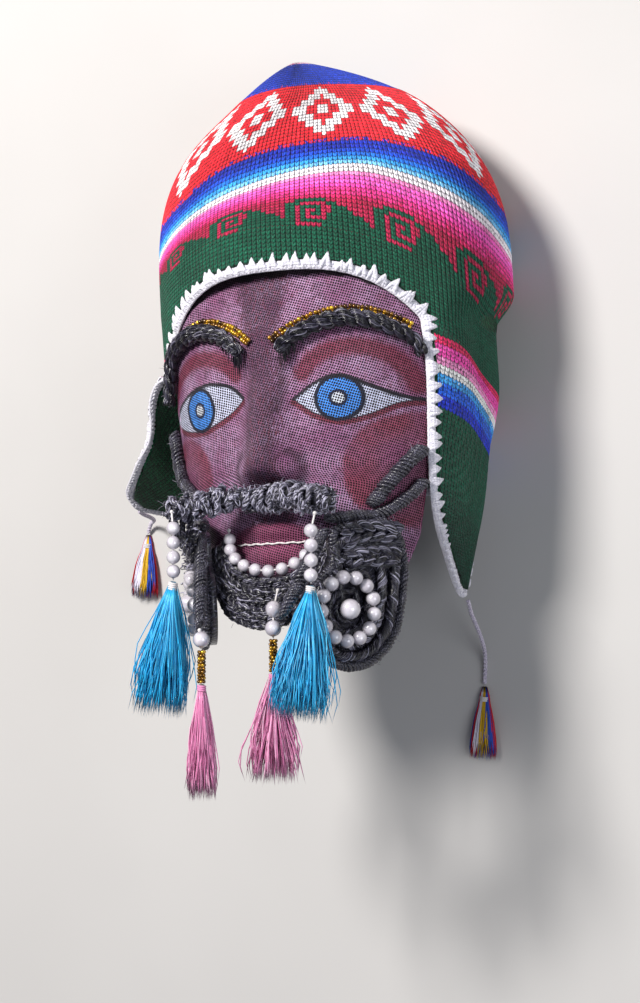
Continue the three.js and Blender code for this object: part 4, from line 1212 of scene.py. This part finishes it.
def wound(path, radius, pitch=1.7, fuzz=40):
    """A cord wound tightly with yarn, slightly uneven, with loose fibres."""
    radius = np.broadcast_to(radius, len(path))
    stations = round(reach_along(path)[-1] / pitch * 10)
    fine = evenly(path, stations)
    so_far = reach_along(fine)
    size = at_stations(rounded(path[None], radius), stations)
    size = size * (1 + 0.05 * np.sin(so_far / 1.9) + 0.04 * np.sin(so_far / 0.83))
    yarn = plies(fine, np.maximum(size - 0.5, 0.05), 1, pitch)[0]
    lean = 1.3 * np.sin(TURN * so_far / pitch) + 0.6 * np.sin(so_far / 2.2)
    yarn = yarn + unit(np.gradient(fine, axis=0)) * lean[:, None]
    thick = 0.8 * np.minimum(size / np.max(radius) + 0.3, 1) * (1 + 0.12 * np.sin(np.arange(stations) / 7.3))
    bright = 0.35 + 0.5 * np.sin(so_far / 2.9) ** 2
    return [(tube(path, radius * 0.76, 10, shade=[0.0]), "dark_cord"),
            (tube(yarn, thick, 6, shade=bright[None]), "dark_cord"), stray_fibres(path, radius, fuzz, 5)]


def backing(shell):
    """A closed body behind rows of cord."""
    shell = shell[:, ::3]
    uv = np.stack(np.meshgrid(np.arange(shell.shape[1]), np.arange(shell.shape[0]) * 2.0), axis=-1)
    return grid_mesh(shell, uv), "dark_cord"


BROW_RADIUS = 3.6
BROW_BEAD_RADIUS = 1.4
BROW_SPAN = (5.5, 57)
BROW_TAILS = {"left": [(60.6, 23), (63.6, 13), (65.2, 2)], "right": [(62, 21.5), (64, 15.5)]}
BEAD_TAILS = {"left": np.empty((0, 2)), "right": [(61.3, 29)]}
BROW_TUFT_HAIRS = 70
SEED_BEAD_RADIUS = 1.1
SEED_BEAD_STEP = 1.95
SEED_ROW_OFFSET = 0.95


def brow_line(x):
    return 38.3 - np.where(x < 38, 13 * ((38 - x) / 33) ** 2, 12 * (np.maximum(x - 38, 0) / 28) ** 1.8)


def brow_path(side, below, lift, tail, count):
    """A line along the brow, so far below its top and off the screen, and on through its tail."""
    x = np.linspace(*BROW_SPAN, 7)
    slope = brow_line(x + 0.5) - brow_line(x - 0.5)
    down = unit(np.stack([slope, -np.ones_like(x)], axis=1)) * below
    arch = mirrored(on_screen(x + down[:, 0], brow_line(x) + down[:, 1], lift), side)
    return smooth_line(np.vstack([arch, screen_line(tail, lift, side)]), count)


def brow_tuft_and_shade(path, side):
    """Loose hairs that hang from the brow's inner end, darker than its other fibres: partly hair, partly a
    painted shade under the brow.
    """
    one_each = (BROW_TUFT_HAIRS, 1, 1)
    picks = (55 * chance.random(BROW_TUFT_HAIRS) ** 1.4).astype(int)
    fall = np.linspace(0, 1, 6)[None, :, None]
    drop = chance.uniform(4, 11.5, one_each) * (1 - picks / 90)[:, None, None]
    roots = path[picks] + chance.normal(0, 0.8, (BROW_TUFT_HAIRS, 3))
    hairs = roots[:, None] + drop * fall * [0.12 * side, -1, -0.22]
    return tubes(hairs, rounded(hairs, 0.26), 3, shade=0.4 * chance.random(BROW_TUFT_HAIRS)), "dark_fibre"


def brow(name, side):
    path = brow_path(
        side, BROW_RADIUS + BROW_BEAD_RADIUS + GAP, BROW_RADIUS + 2 * GAP, BROW_TAILS[name], 220)
    t = np.linspace(0, 1, len(path))
    radius = BROW_RADIUS * (0.72 + 0.28 * np.sin(math.pi * np.clip(t * 1.1, 0, 1)))
    parts = rope(path, radius * 1.18, 12 * side, 17, 0.58, 0, 150, 0.34, 0.12, -0.14)
    piece(f"brow_{name}", [*parts, brow_tuft_and_shade(path, side), stray_fibres(path, radius, 110, 4.5)])


def brow_beads(name, side):
    """Two rows of amber seed beads along the top of a brow."""
    path = brow_path(side, 0, BROW_BEAD_RADIUS + GAP, BEAD_TAILS[name], 300)
    across = unit(np.cross(np.gradient(path, axis=0), [0, 0, 1]))
    count = round(reach_along(path)[-1] / SEED_BEAD_STEP)
    picks = np.linspace(2, 297, count).astype(int)
    rows = [path[picks] + across[picks] * offset + chance.normal(0, 0.1, (count, 3))
            for offset in (-SEED_ROW_OFFSET, SEED_ROW_OFFSET)]
    seeds = beads(np.vstack(rows), SEED_BEAD_RADIUS, seed=True)
    piece(f"brow_beads_{name}", [(seeds, "gold_beads")])


# Beard curls: flat coils of cord that stand forward from the jaw and lean together
CURL_HINGE = {"left": (60, 42), "right": (58, 42)}
CURL_LEAN = {"left": math.radians(33), "right": math.radians(30)}
CURL_HALF_THICKNESS = 2.6
CURL_COIL_RISE = 1.3
CURL_EYE = {"left": (48, -94), "right": (48, -99)}
CURL_OUTLINE = [
    (17.5, -60.5), (31, -60), (50, -62.5), (52, -78), (65, -88), (67, -108),
    (55, -124), (36, -126), (20, -115), (13, -97), (10.5, -77),
]
LEFT_CURL_HEIGHT = 0.82
CURL_COILS = [(0.2, 1.7, 6), (0.4, 2.0, 8), (0.6, 2.3, 13), (0.79, 2.5, 15)]
CURL_BORDER_SHARE = 0.96
CURL_BORDER_RADIUS = 2.1
CURL_ROLLS = 4
CURL_ROLL_TOP_Y = -63
CURL_ROLL_STEP = 5.3
# Loose loops on the face of the left curl: how far forward each row is, and its lowest y
LEFT_CURL_LOOPS = [(22, -100), (34, -112), (46, -104)]
LEFT_CURL_LOOPS_TOP_Y = -62
LEFT_CURL_LOOPS_OFF = 6.5

# Side cords that run from the cap's edge over the cheeks and into the curls
SIDE_CORD_RADIUS = 2.9
CHEEK_CORDS = {
    "left": [(66.5, -11), (59.5, -34), (50.5, -41), (42.5, -46.5)],
    "right": [(63, -27), (57.4, -33.4), (50, -42.3), (43.6, -50.6), (41.6, -53)],
}
CHEEK_CORD_RADIUS = {"left": 2.9, "right": 3.6}
JAW_CORD_START = {"left": [(60.3, -46), (53, -53.6)], "right": [(61.5, -41.5), (54.5, -50)]}
JAW_CORD_END = [(23, -61.6), (37, -61.4), (51.5, -62)]
SPINDLES = {"left": [(-32, -62, 88.4), (-20.7, -103.5, 116)], "right": [(32, -62, 88.4), (20.5, -100, 114)]}


def on_curl(forward, y, off, side):
    """A place on a curl: distance forward of its hinge, height, and distance off its middle plane."""
    name = "left" if side < 0 else "right"
    lean = CURL_LEAN[name]
    forward, y, off = np.broadcast_arrays(*(np.asarray(v, float) for v in (forward, y, off)))
    x = CURL_HINGE[name][0] - forward * math.sin(lean) + off * math.cos(lean)
    z = CURL_HINGE[name][1] + forward * math.cos(lean) + off * math.sin(lean)
    return np.stack([x * side, y, z], axis=-1)


def curl_outline(name):
    rim = np.array(CURL_OUTLINE)
    if name == "left":
        rim[:, 1] = rim[0, 1] + (rim[:, 1] - rim[0, 1]) * LEFT_CURL_HEIGHT
    return smooth_line(rim, 241, closed=True)


def cheek_cord(name, side):
    path = smooth_line(screen_line(CHEEK_CORDS[name], SIDE_CORD_RADIUS + GAP, side), 200)
    piece(f"cheek_cord_{name}", wound(path, CHEEK_CORD_RADIUS[name]))


def jaw_cord(name, side):
    start = screen_line(JAW_CORD_START[name], SIDE_CORD_RADIUS + GAP + 0.3, side)
    forward, y = np.array(JAW_CORD_END).T
    path = smooth_line(np.vstack([start, on_curl(forward, y + SIDE_CORD_RADIUS + GAP + 0.9, 0, side)]), 240)
    radius = SIDE_CORD_RADIUS * (1 - 0.15 * np.linspace(0, 1, 240))
    piece(f"jaw_cord_{name}", wound(path, radius))


def spindle(name):
    radius = 1.9 + 1.2 * np.sin(math.pi * np.linspace(0, 1, 200)) ** 0.7
    piece(f"beard_spindle_{name}", wound(smooth_line(SPINDLES[name], 200), radius))


MOUSTACHE_RADIUS = 6.6
MOUSTACHE_HALF = [(0, -47.5, 84), (13, -46, 88), (28, -48, 95), (42, -50, 103)]
MOUSTACHE_COIL_PITCHES = (6.4, -7.6, 10.5, -13.0)
MOUSTACHE_PLACES = 500
MOUSTACHE_CURLY_END = 380
# Loose loops of the same yarn that hang from its left end
LEFT_TANGLE = [
    [(-40, -52, 101), (-38, -60, 99), (-33, -63, 96), (-30, -57, 94)],
    [(-36, -53, 98), (-40, -63, 92), (-36, -71, 92), (-31, -66, 92)],
    [(-42, -53, 98), (-44, -61, 92), (-41, -69, 88), (-37, -74, 88)],
    [(-31, -52, 98), (-34, -58, 96), (-35, -64, 94), (-34.5, -71, 92)],
]


def moustache_coil(path, radius, k, pitch):
    """One of the curly hanks round the moustache, and its core."""
    uneven = 0.72 + 0.2 * np.sin(reach_along(path) / (3.1 + k) + 2 * k)
    coil = evenly(plies(path, radius * uneven, 1, pitch, k)[0], 700)
    so_far = reach_along(coil)
    push = np.sin(so_far / 2.3 + 1.7 * k) * 1.3 + np.sin(so_far / 5.1 + k) * 1.1
    along = unit(np.gradient(path, axis=0))[np.linspace(0, len(path) - 1, len(coil)).astype(int)]
    coil = coil + push[:, None] * along
    fibres = hank(coil, 1.2, 7, 9 - 2 * k, 0.36, 0.35, 330, 0.2)
    return [fibres, (tube(evenly(coil, 330), 0.95, 6, shade=[0.1]), "dark_cord")]


def moustache():
    half = np.array(MOUSTACHE_HALF, float)
    path = smooth_line(np.vstack([mirrored(half[:0:-1], -1), half]), MOUSTACHE_PLACES)
    t = np.linspace(0, 1, len(path))
    radius = MOUSTACHE_RADIUS * (0.72 + 0.28 * np.clip(np.minimum(t, 1 - t) * 12, 0, 1))
    parts = [(tube(path, radius * 0.62, 10, shade=[0.0]), "dark_cord")]
    for k, pitch in enumerate(MOUSTACHE_COIL_PITCHES):
        parts += moustache_coil(path, radius, k, pitch)
    parts.append(curly_loops(path, radius, 50, (1.6, 3.4)))
    curly_end = slice(MOUSTACHE_CURLY_END, MOUSTACHE_PLACES)
    parts.append(curly_loops(path[curly_end], radius[curly_end], 40, (1.8, 3.6)))
    for k, ends in enumerate(LEFT_TANGLE):
        hanging = smooth_line(ends, 120)
        parts += rope(hanging, 1.6, 6, 7, 0.6, k, 60, 0.28)
        parts.append(curly_loops(hanging, 1.3, 8, (1.2, 2.4)))
    piece("moustache", [*parts, stray_fibres(path, radius, 260, 6)])


CHIN_TOP = {"reach": (26, 19, 7.5), "at": (-1, -65, 74.5)}
CHIN_BOTTOM = {"reach": (32, 33, 19), "at": (-1, -74, 72)}
LIP_PEARLS = {"reach": (22.6, 15.4, 6), "at": (-1.5, -65, 76)}
LIP_PEARL_COUNT = 11
CHIN_ROWS = 6


def crescent(shape, turn):
    reach, at = np.array(shape["reach"]), np.array(shape["at"])
    return at + np.stack([np.sin(turn), -np.cos(turn), np.cos(turn)], axis=-1) * reach


def chin_backing(top, bottom, out):
    """A closed crescent behind the rows of the chin beard."""
    rows = np.linspace(0, 1, 9)[:, None, None]
    sheet = top + (bottom - top) * rows
    front = sheet - unit(out) * 1.2 + out * (3.2 * np.sin(math.pi * rows))
    shell = np.concatenate([front, (sheet - unit(out) * 4.6)[::-1], front[:1]])
    ends = [np.repeat(end.mean(axis=0, keepdims=True), len(shell), axis=0)
            for end in (shell[:, :1], shell[:, -1:])]
    return backing(np.concatenate([ends[0], shell, ends[1]], axis=1))


def chin_beard():
    turn = np.linspace(-1, 1, 240) * math.pi / 2
    top, bottom = crescent(CHIN_TOP, turn), crescent(CHIN_BOTTOM, turn)
    out = np.stack([np.sin(turn) * 0.4, -0.3 * np.cos(turn), np.full_like(turn, 0.9)], axis=-1)
    parts = [chin_backing(top, bottom, out)]
    size = np.linalg.norm(bottom[120] - top[120]) / CHIN_ROWS * 0.62
    for r in range(CHIN_ROWS):
        w = (r + 0.5) / CHIN_ROWS
        path = evenly(top + (bottom - top) * w + out * (4 * math.sin(math.pi * w) - 0.6), 260)
        wave = 0.9 + 0.1 * np.sin(np.arange(260) / 9 + r)
        parts += rope(path, size * wave, 8 if r % 2 else -8, 8, 0.6, r, 90, 0.34)
        parts.append(stray_fibres(path, size, 26, 5))
    piece("chin_beard", parts)


def curl_backing(outline, eye, side):
    """A closed disc behind a curl's coils."""
    disc = eye + (outline - eye) * np.linspace(0.02, 0.97, 9)[:, None, None]
    faces = (1.4, -CURL_HALF_THICKNESS)
    front, back = (on_curl(disc[..., 0], disc[..., 1], off, side) for off in faces)
    middles = [np.broadcast_to(on_curl(*eye, off, side), (1,) + front.shape[1:]) for off in faces]
    return backing(np.concatenate([middles[0], front, back[::-1], middles[1]]))


def curl_ring(outline, eye, share, rise, side):
    """A line round a curl, at a share of the way from its eye to its outline."""
    ring = eye + (outline - eye) * share
    return evenly(on_curl(ring[:, 0], ring[:, 1], CURL_HALF_THICKNESS + rise, side), 220)


def curl_rolls(side):
    """The rolls of cord across a curl's top."""
    parts = []
    for k in range(CURL_ROLLS):
        y = CURL_ROLL_TOP_Y - CURL_ROLL_STEP * k
        ends = np.array([(13 + 0.8 * k, y - 2), (24, y), (37, y + 0.5), (47.5 - 0.6 * k, y - 1.5)])
        path = smooth_line(on_curl(ends[:, 0], ends[:, 1], CURL_HALF_THICKNESS + 1.4, side), 160)
        parts += rope(path, 3.1, 13 * (-1) ** k, 15, 0.56, k, 48, 0.38, 0.1, 0.08)
        parts.append(stray_fibres(path, 2.4, 26, 6))
    return parts


def beard_curl(name, side):
    outline = curl_outline(name)
    eye = np.array(CURL_EYE[name], float)
    parts = [curl_backing(outline, eye, side)]
    for k, (share, radius, fibres) in enumerate(CURL_COILS):
        path = curl_ring(outline, eye, share, 1.2, side)
        radii = radius * (1 + 0.07 * np.sin(reach_along(path[None]) / 2.7 + k))
        parts.append((tubes(path[None], radii * 0.9, 7, shade=[0.1]), "dark_cord"))
        parts.append(hank(path, radius, fibres, 10 * (-1) ** k, 0.34, 0.25, 150, 0.06))
        parts.append(stray_fibres(path, radius, 30 + 12 * k, 5))
    border = curl_ring(outline, eye, CURL_BORDER_SHARE, 0.4, side)
    parts += wound(border, CURL_BORDER_RADIUS, 1.8, 60)
    if name == "left":
        for forward, low in LEFT_CURL_LOOPS:
            y = np.linspace(LEFT_CURL_LOOPS_TOP_Y, low, 5)
            line = smooth_line(on_curl(forward, y, LEFT_CURL_LOOPS_OFF, side), 80)
            parts.append(curly_loops(line, 1.6, 26, (2.2, 3.8)))
    piece(f"beard_curl_{name}", [*parts, *curl_rolls(side)])


# Pearls, beads and the threads they hang on
PEARLS_IN_RING = {"left": 11, "right": 13}
PEARL_RING_RADIUS = {"left": 12.3, "right": 14.6}
PEARL_RADIUS = 3.4
SMALL_PEARL_RADIUS = 3.2
DROP_PEARL_RADIUS = 3.8
STUD_RADIUS = 4.8
CURL_FACE = CURL_HALF_THICKNESS + CURL_COIL_RISE + GAP


def curl_pearls(name, side):
    turn = TURN * np.arange(PEARLS_IN_RING[name]) / PEARLS_IN_RING[name]
    forward, y = CURL_EYE[name]
    reach = PEARL_RING_RADIUS[name]
    places = on_curl(forward + reach * np.cos(turn), y + reach * np.sin(turn), CURL_FACE + PEARL_RADIUS, side)
    ring = smooth_line(places, 120, closed=True)
    piece(f"curl_pearls_{name}", [
        (beads(places, PEARL_RADIUS), "pearl"), (tubes(ring[None], 0.4, 6), "white_thread")])


def curl_stud(name, side):
    at = on_curl(*CURL_EYE[name], CURL_FACE + STUD_RADIUS, side)
    out = on_curl(0, 0, 1, side) - on_curl(0, 0, 0, side)
    stitch = smooth_line([at - out * (STUD_RADIUS + 0.2), at - out * (STUD_RADIUS - 1.5)], 6)
    parts = [(beads([at], STUD_RADIUS), "pearl"), (tube(stitch, 0.6), "white_thread")]
    piece(f"curl_stud_{name}", parts)


def strung(places, radius, start, end):
    """Pearls at the places, on a knotted thread that runs from start to end."""
    line = evenly(np.vstack([[start], places, [end]]).astype(float), 40)
    knot = beads([np.asarray(start) * 0.95 + np.asarray(places[0]) * 0.05], 0.9)
    return [(beads(places, radius), "pearl"), (tube(line, 0.45), "white_thread"), (knot, "white_thread")]


def lip_pearls():
    places = crescent(LIP_PEARLS, np.linspace(-0.5, 0.5, LIP_PEARL_COUNT) * math.pi)
    up = np.array([0, PEARL_RADIUS + 1, 0])
    piece("lip_pearls", strung(places, PEARL_RADIUS * 0.9, places[0] + up, places[-1] + up))


# Tassels and what they hang from
MOUSTACHE_DROP = {"left": (-35.5, -58, 108.5), "right": (34.5, -62.5, 108.5)}
MOUSTACHE_DROP_PEARLS = 4
DROP_PITCH = 6.6
BLUE_TASSEL = {
    "left": {"way": (-0.2, -1, 0), "length": 63, "spread": 12.5},
    "right": {"way": (-0.13, -1, 0.12), "length": 61, "spread": 13.5},
}
LOW_DROPS = {
    "left": {"thread": (-20.6, -104.3, 116.2), "pearls": [(-20, -108.7, 116)], "spread": 7, "fall": 53},
    "middle": {"thread": (9.8, -88.5, 95.5), "pearls": [(10.2, -97, 102), (10, -105.6, 103)],
               "spread": 11.5, "fall": 50},
}
GOLD_TUBE = 15
GOLD_RINGS = 10
GOLD_IN_RING = 5
GOLD_RADIUS = 0.85
STRAND_TAPER = np.array([0, 1, 1, 1, 1, 1, 0.9, 0])
TASSEL_SHARES = (0, 0.03, 0.07, 0.22, 0.5, 0.82, 1)
BLUE_STRANDS = 600
PINK_STRANDS = 460


def tassel(top, way, length, spread, strands):
    """Strands that leave a bound neck and spread as they fall."""
    way = unit(way)
    side, front = side_and_front(way)
    turn = chance.uniform(0, TURN, strands)
    out = np.sqrt(chance.random(strands)) * np.where(chance.random(strands) < 0.07, 1.3, 1)
    t = np.linspace(0, 1, 8)
    profile = np.interp(
        t, TASSEL_SHARES, (1.2, 2.2, 1.8, 0.38 * spread, 0.72 * spread, 0.95 * spread, spread))
    size = length * (1 - 0.24 * chance.random(strands) ** 1.5)
    around = turn[:, None]
    swirl = around + chance.normal(0, 0.25, (strands, 1)) * t + 0.35 * t * np.sin(around * 3)
    clump = around * 7
    reach = profile * out[:, None] * (1 + 0.14 * np.sin(t * 9 + clump) * t)
    wave = 0.07 * spread * t * np.sin(t * chance.uniform(7, 13, (strands, 1)) + clump)
    lines = (np.asarray(top, float) + way * (size[:, None] * t)[..., None]
             + side * (reach * np.cos(swirl) + wave)[..., None] + front * (reach * np.sin(swirl))[..., None])
    return tubes(lines, 0.3 * STRAND_TAPER, 3, shade=chance.random(strands))


def binding(top, way, radius, turns=4, pitch=0.9, thickness=0.5):
    """Thread wound round a tassel's neck."""
    way = unit(way)
    side, front = side_and_front(way)
    t = np.linspace(0, turns, turns * 14)[:, None]
    path = np.asarray(top, float) + way * t * pitch
    return tube(path + radius * (np.cos(TURN * t) * side + np.sin(TURN * t) * front), thickness)


def moustache_drop(name, side):
    """Pearls on a thread from the moustache's end, and the blue tassel under them."""
    places = np.asarray(MOUSTACHE_DROP[name]) + np.arange(MOUSTACHE_DROP_PEARLS)[:, None] * DROP_PITCH * HANG
    end = places[-1] + HANG * (SMALL_PEARL_RADIUS + 1)
    piece(f"moustache_pearls_{name}",
          strung(places, SMALL_PEARL_RADIUS, places[0] + [1.5 * side, 8, -2.2], end))
    top = end + HANG * GAP
    fall = BLUE_TASSEL[name]
    piece(f"blue_tassel_{name}", [
        (tassel(top, fall["way"], fall["length"], fall["spread"], BLUE_STRANDS), "turquoise_floss"),
        (binding(top + unit(fall["way"]) * 0.6, fall["way"], 1.8), "white_thread")])


def gold_tube(start):
    """Rings of seed beads round a core, one under the other."""
    side, front = side_and_front(HANG)
    places = []
    for ring in range(GOLD_RINGS):
        at = start + HANG * (0.8 + ring * (GOLD_TUBE - 1.6) / (GOLD_RINGS - 1))
        for k in range(GOLD_IN_RING):
            turn = TURN * (k + 0.5 * ring) / GOLD_IN_RING
            places.append(at + 1.25 * (math.cos(turn) * side + math.sin(turn) * front))
    core = smooth_line([start + HANG * 0.3, start + HANG * (GOLD_TUBE - 0.3)], 8)
    return [(beads(places, GOLD_RADIUS, seed=True), "gold_beads"), (tube(core, 1.0), "gold_beads")]


def low_drop(name):
    """Pearls, a gold tube and a pink tassel, one under the other."""
    drop = LOW_DROPS[name]
    end = np.array(drop["pearls"][-1]) + HANG * (DROP_PEARL_RADIUS + 0.8)
    piece(f"drop_pearls_{name}", strung(drop["pearls"], DROP_PEARL_RADIUS, drop["thread"], end))
    start = end + HANG * GAP
    piece(f"drop_gold_{name}", gold_tube(start))
    top = start + HANG * (GOLD_TUBE + GAP)
    piece(f"pink_tassel_{name}", [
        (tassel(top, HANG, drop["fall"], drop["spread"], PINK_STRANDS), "pink_floss"),
        (binding(top + HANG * 0.6, HANG, 1.7, 3), "pink_floss")])


# The ties of the ear flaps, free cords: the same route as their solids, with tassels that lie down
TIE_DIAMETER = 2.4
TIES = {
    "left": {
        "path": [(-125.6, -48.6, -13), (-127.5, -50.5, -21), (-130, -52, -31), (-133.5, -53.5, -41),
                 (-138.5, -54.5, -50), (-144.5, -56, -57), (-148.6, -61, -60.4)],
        "way": (-0.1, -1, 0), "length": 36, "spread": 9,
    },
    "right": {
        "path": [(51.6, -103.3, -31.3), (51, -110, -36), (50.4, -117, -43.5), (49.6, -125, -52),
                 (48.6, -133, -58.2), (47.4, -141, -60.5), (46.4, -149, -60.6)],
        "way": (-0.06, -1, 0), "length": 38, "spread": 8,
    },
}
FLAP_STRANDS = 380
BUNCHES = 9


def flap_strands(start, way, length, spread, ground):
    """Strands that lie spread out on the floor, in bunches of one colour."""
    side, _ = side_and_front(way)
    t = np.linspace(0, 1, 8)
    profile = np.interp(t, (0, 0.08, 0.18, 0.5, 1), (1.4, 3.0, 2.4, 0.7 * spread, spread))
    turn = chance.uniform(0, TURN, FLAP_STRANDS)[:, None]
    out = np.sqrt(chance.random(FLAP_STRANDS))[:, None]
    size = length * (1 - 0.2 * chance.random(FLAP_STRANDS)[:, None])
    drift = turn + chance.normal(0, 0.3, FLAP_STRANDS)[:, None] * t
    at = start + way * (size * t)[..., None] + side * (profile * out * np.cos(drift))[..., None]
    at[..., 2] = ground + profile * 0.5 * (1 + out * np.sin(drift)) * 0.9
    bunch = np.floor(turn[:, 0] / TURN * BUNCHES) * 0.39 % 0.95
    return tubes(at, 0.38 * STRAND_TAPER, 3, shade=bunch + 0.04)


def flap_tassel(name):
    tie = TIES[name]
    way = unit(tie["way"])
    start = np.array(tie["path"][-1]) + way * 3 * GAP
    ground = -HEAD_AXIS_HEIGHT + 0.5
    neck = start + way * (0.14 * tie["length"])
    neck[2] = ground + 1.4
    return piece(f"flap_tassel_{name}", [
        (flap_strands(start, way, tie["length"], tie["spread"], ground), "mixed_floss"),
        (binding(neck, way, 2.1, 3, 0.8, 0.4), "white_thread")])


def flap_tie(name, tassel_piece):
    lines = plies(smooth_line(TIES[name]["path"], 90), TIE_DIAMETER * 0.22, 2, 4.2)
    strands = tubes(lines, rounded(lines, TIE_DIAMETER * 0.28), 8)
    tie = piece(f"flap_tie_{name}", [(strands, "tie_cord")])
    line = placed(smooth_line(TIES[name]["path"], 26))
    length = float(reach_along(line)[-1])


# Floor and light
def add_floor():
    bm = bmesh.new()
    bmesh.ops.create_grid(bm, x_segments=8, y_segments=8, size=3)
    mesh = bpy.data.meshes.new("floor")
    bm.to_mesh(mesh)
    bm.free()
    floor = bpy.data.objects.new("floor", mesh)
    bpy.context.scene.collection.objects.link(floor)
    make = material("pale_floor")
    make.finish(make.mix(make.noise(make.place(), 8.0, 2.0), "c2c0be", "cccac8"), Roughness=0.8)
    mesh.materials.append(finishes["pale_floor"])


def add_lamp(name, at, size, power, colour):
    data = bpy.data.lights.new(name, "AREA")
    data.shape = "DISK"
    data.size = size
    data.energy = power
    data.color = colour
    lamp = bpy.data.objects.new(name, data)
    bpy.context.scene.collection.objects.link(lamp)
    lamp.location = at
    lamp.rotation_mode = "QUATERNION"
    lamp.rotation_quaternion = (Vector((0, -0.03, 0.08)) - Vector(at)).to_track_quat("-Z", "Y")


def light_scene():
    world = bpy.data.worlds.new("studio")
    world.use_nodes = True
    background = world.node_tree.nodes["Background"]
    background.inputs["Color"].default_value = (0.86, 0.9, 1.0, 1)
    background.inputs["Strength"].default_value = 0.18
    bpy.context.scene.world = world
    bpy.context.scene.view_settings.view_transform = "Standard"
    add_lamp("key", (-0.32, 0.62, 1.35), 0.42, 33, (1, 0.97, 0.94))
    add_lamp("fill", (1.1, -0.2, 0.9), 0.8, 6, (0.9, 0.94, 1))


def make_finishes():
    yarn = yarn_effect()
    stitches = stitches_effect()
    thread_finish()
    pearl_finish()
    amber_beads()
    gauze_back_painted_shade()
    painted_gauze()
    knitted_wool("knitted_wool", stitches, False)
    knitted_wool("knitted_wool_inside", stitches, True)
    wool = {"Roughness": 0.85, "Sheen_Weight": 0.3}
    wound_cord("crochet_edging", yarn, "c8c4d8", "f2f0f8", "ffffff", 1.6, 0.5, 0.3, **wool)
    wound_cord("tie_cord", yarn, "a89cb4", "d8d0e0", "f6f2f8", 1.2, 0.6, 0.2, **wool)
    gloss = {"Coat_Weight": 0.6, "Coat_Roughness": 0.22}
    wound_cord("dark_cord", yarn, "020203", "2a2836", "8c8aa2", 0.9, 0.3, 0.4, Roughness=0.34, **gloss)
    floss("dark_fibre", [(0.0, "050507"), (0.45, "22202e"), (0.78, "524f62"), (1.0, "aeacc0")],
          Roughness=0.28, **gloss)
    # The turquoise gets painted shade towards its strands' ends.
    floss("turquoise_floss", [(0.0, "0c8cba"), (0.3, "16b0e6"), (0.7, "24bef6"), (1.0, "74daf8")],
          shade_downward=0.004, Roughness=0.42, Sheen_Weight=0.1)
    floss("pink_floss", [(0.0, "b4588a"), (0.4, "d880b0"), (0.75, "ea9cc6"), (1.0, "f6c8e0")],
          Roughness=0.42, Sheen_Weight=0.3)
    floss("mixed_floss", [(0.0, "c41c2c"), (0.18, "2a50bc"), (0.36, "e0dcec"), (0.52, "c81f34"),
                          (0.7, "d8ae1c"), (0.85, "6440c4")],
          grained=0.1, interpolation="CONSTANT", Roughness=0.7)


def build():
    add_camera()
    add_floor()
    light_scene()
    make_finishes()
    for name in SIDES:
        flap_tie(name, flap_tassel(name))
    cap_edging(*knit_cap())
    face_screen()
    moustache()
    chin_beard()
    lip_pearls()
    for name, side in SIDES.items():
        brow(name, side)
        brow_beads(name, side)
        cheek_cord(name, side)
        jaw_cord(name, side)
        beard_curl(name, side)
        curl_pearls(name, side)
        curl_stud(name, side)
        spindle(name)
        moustache_drop(name, side)
    for name in LOW_DROPS:
        low_drop(name)


build()
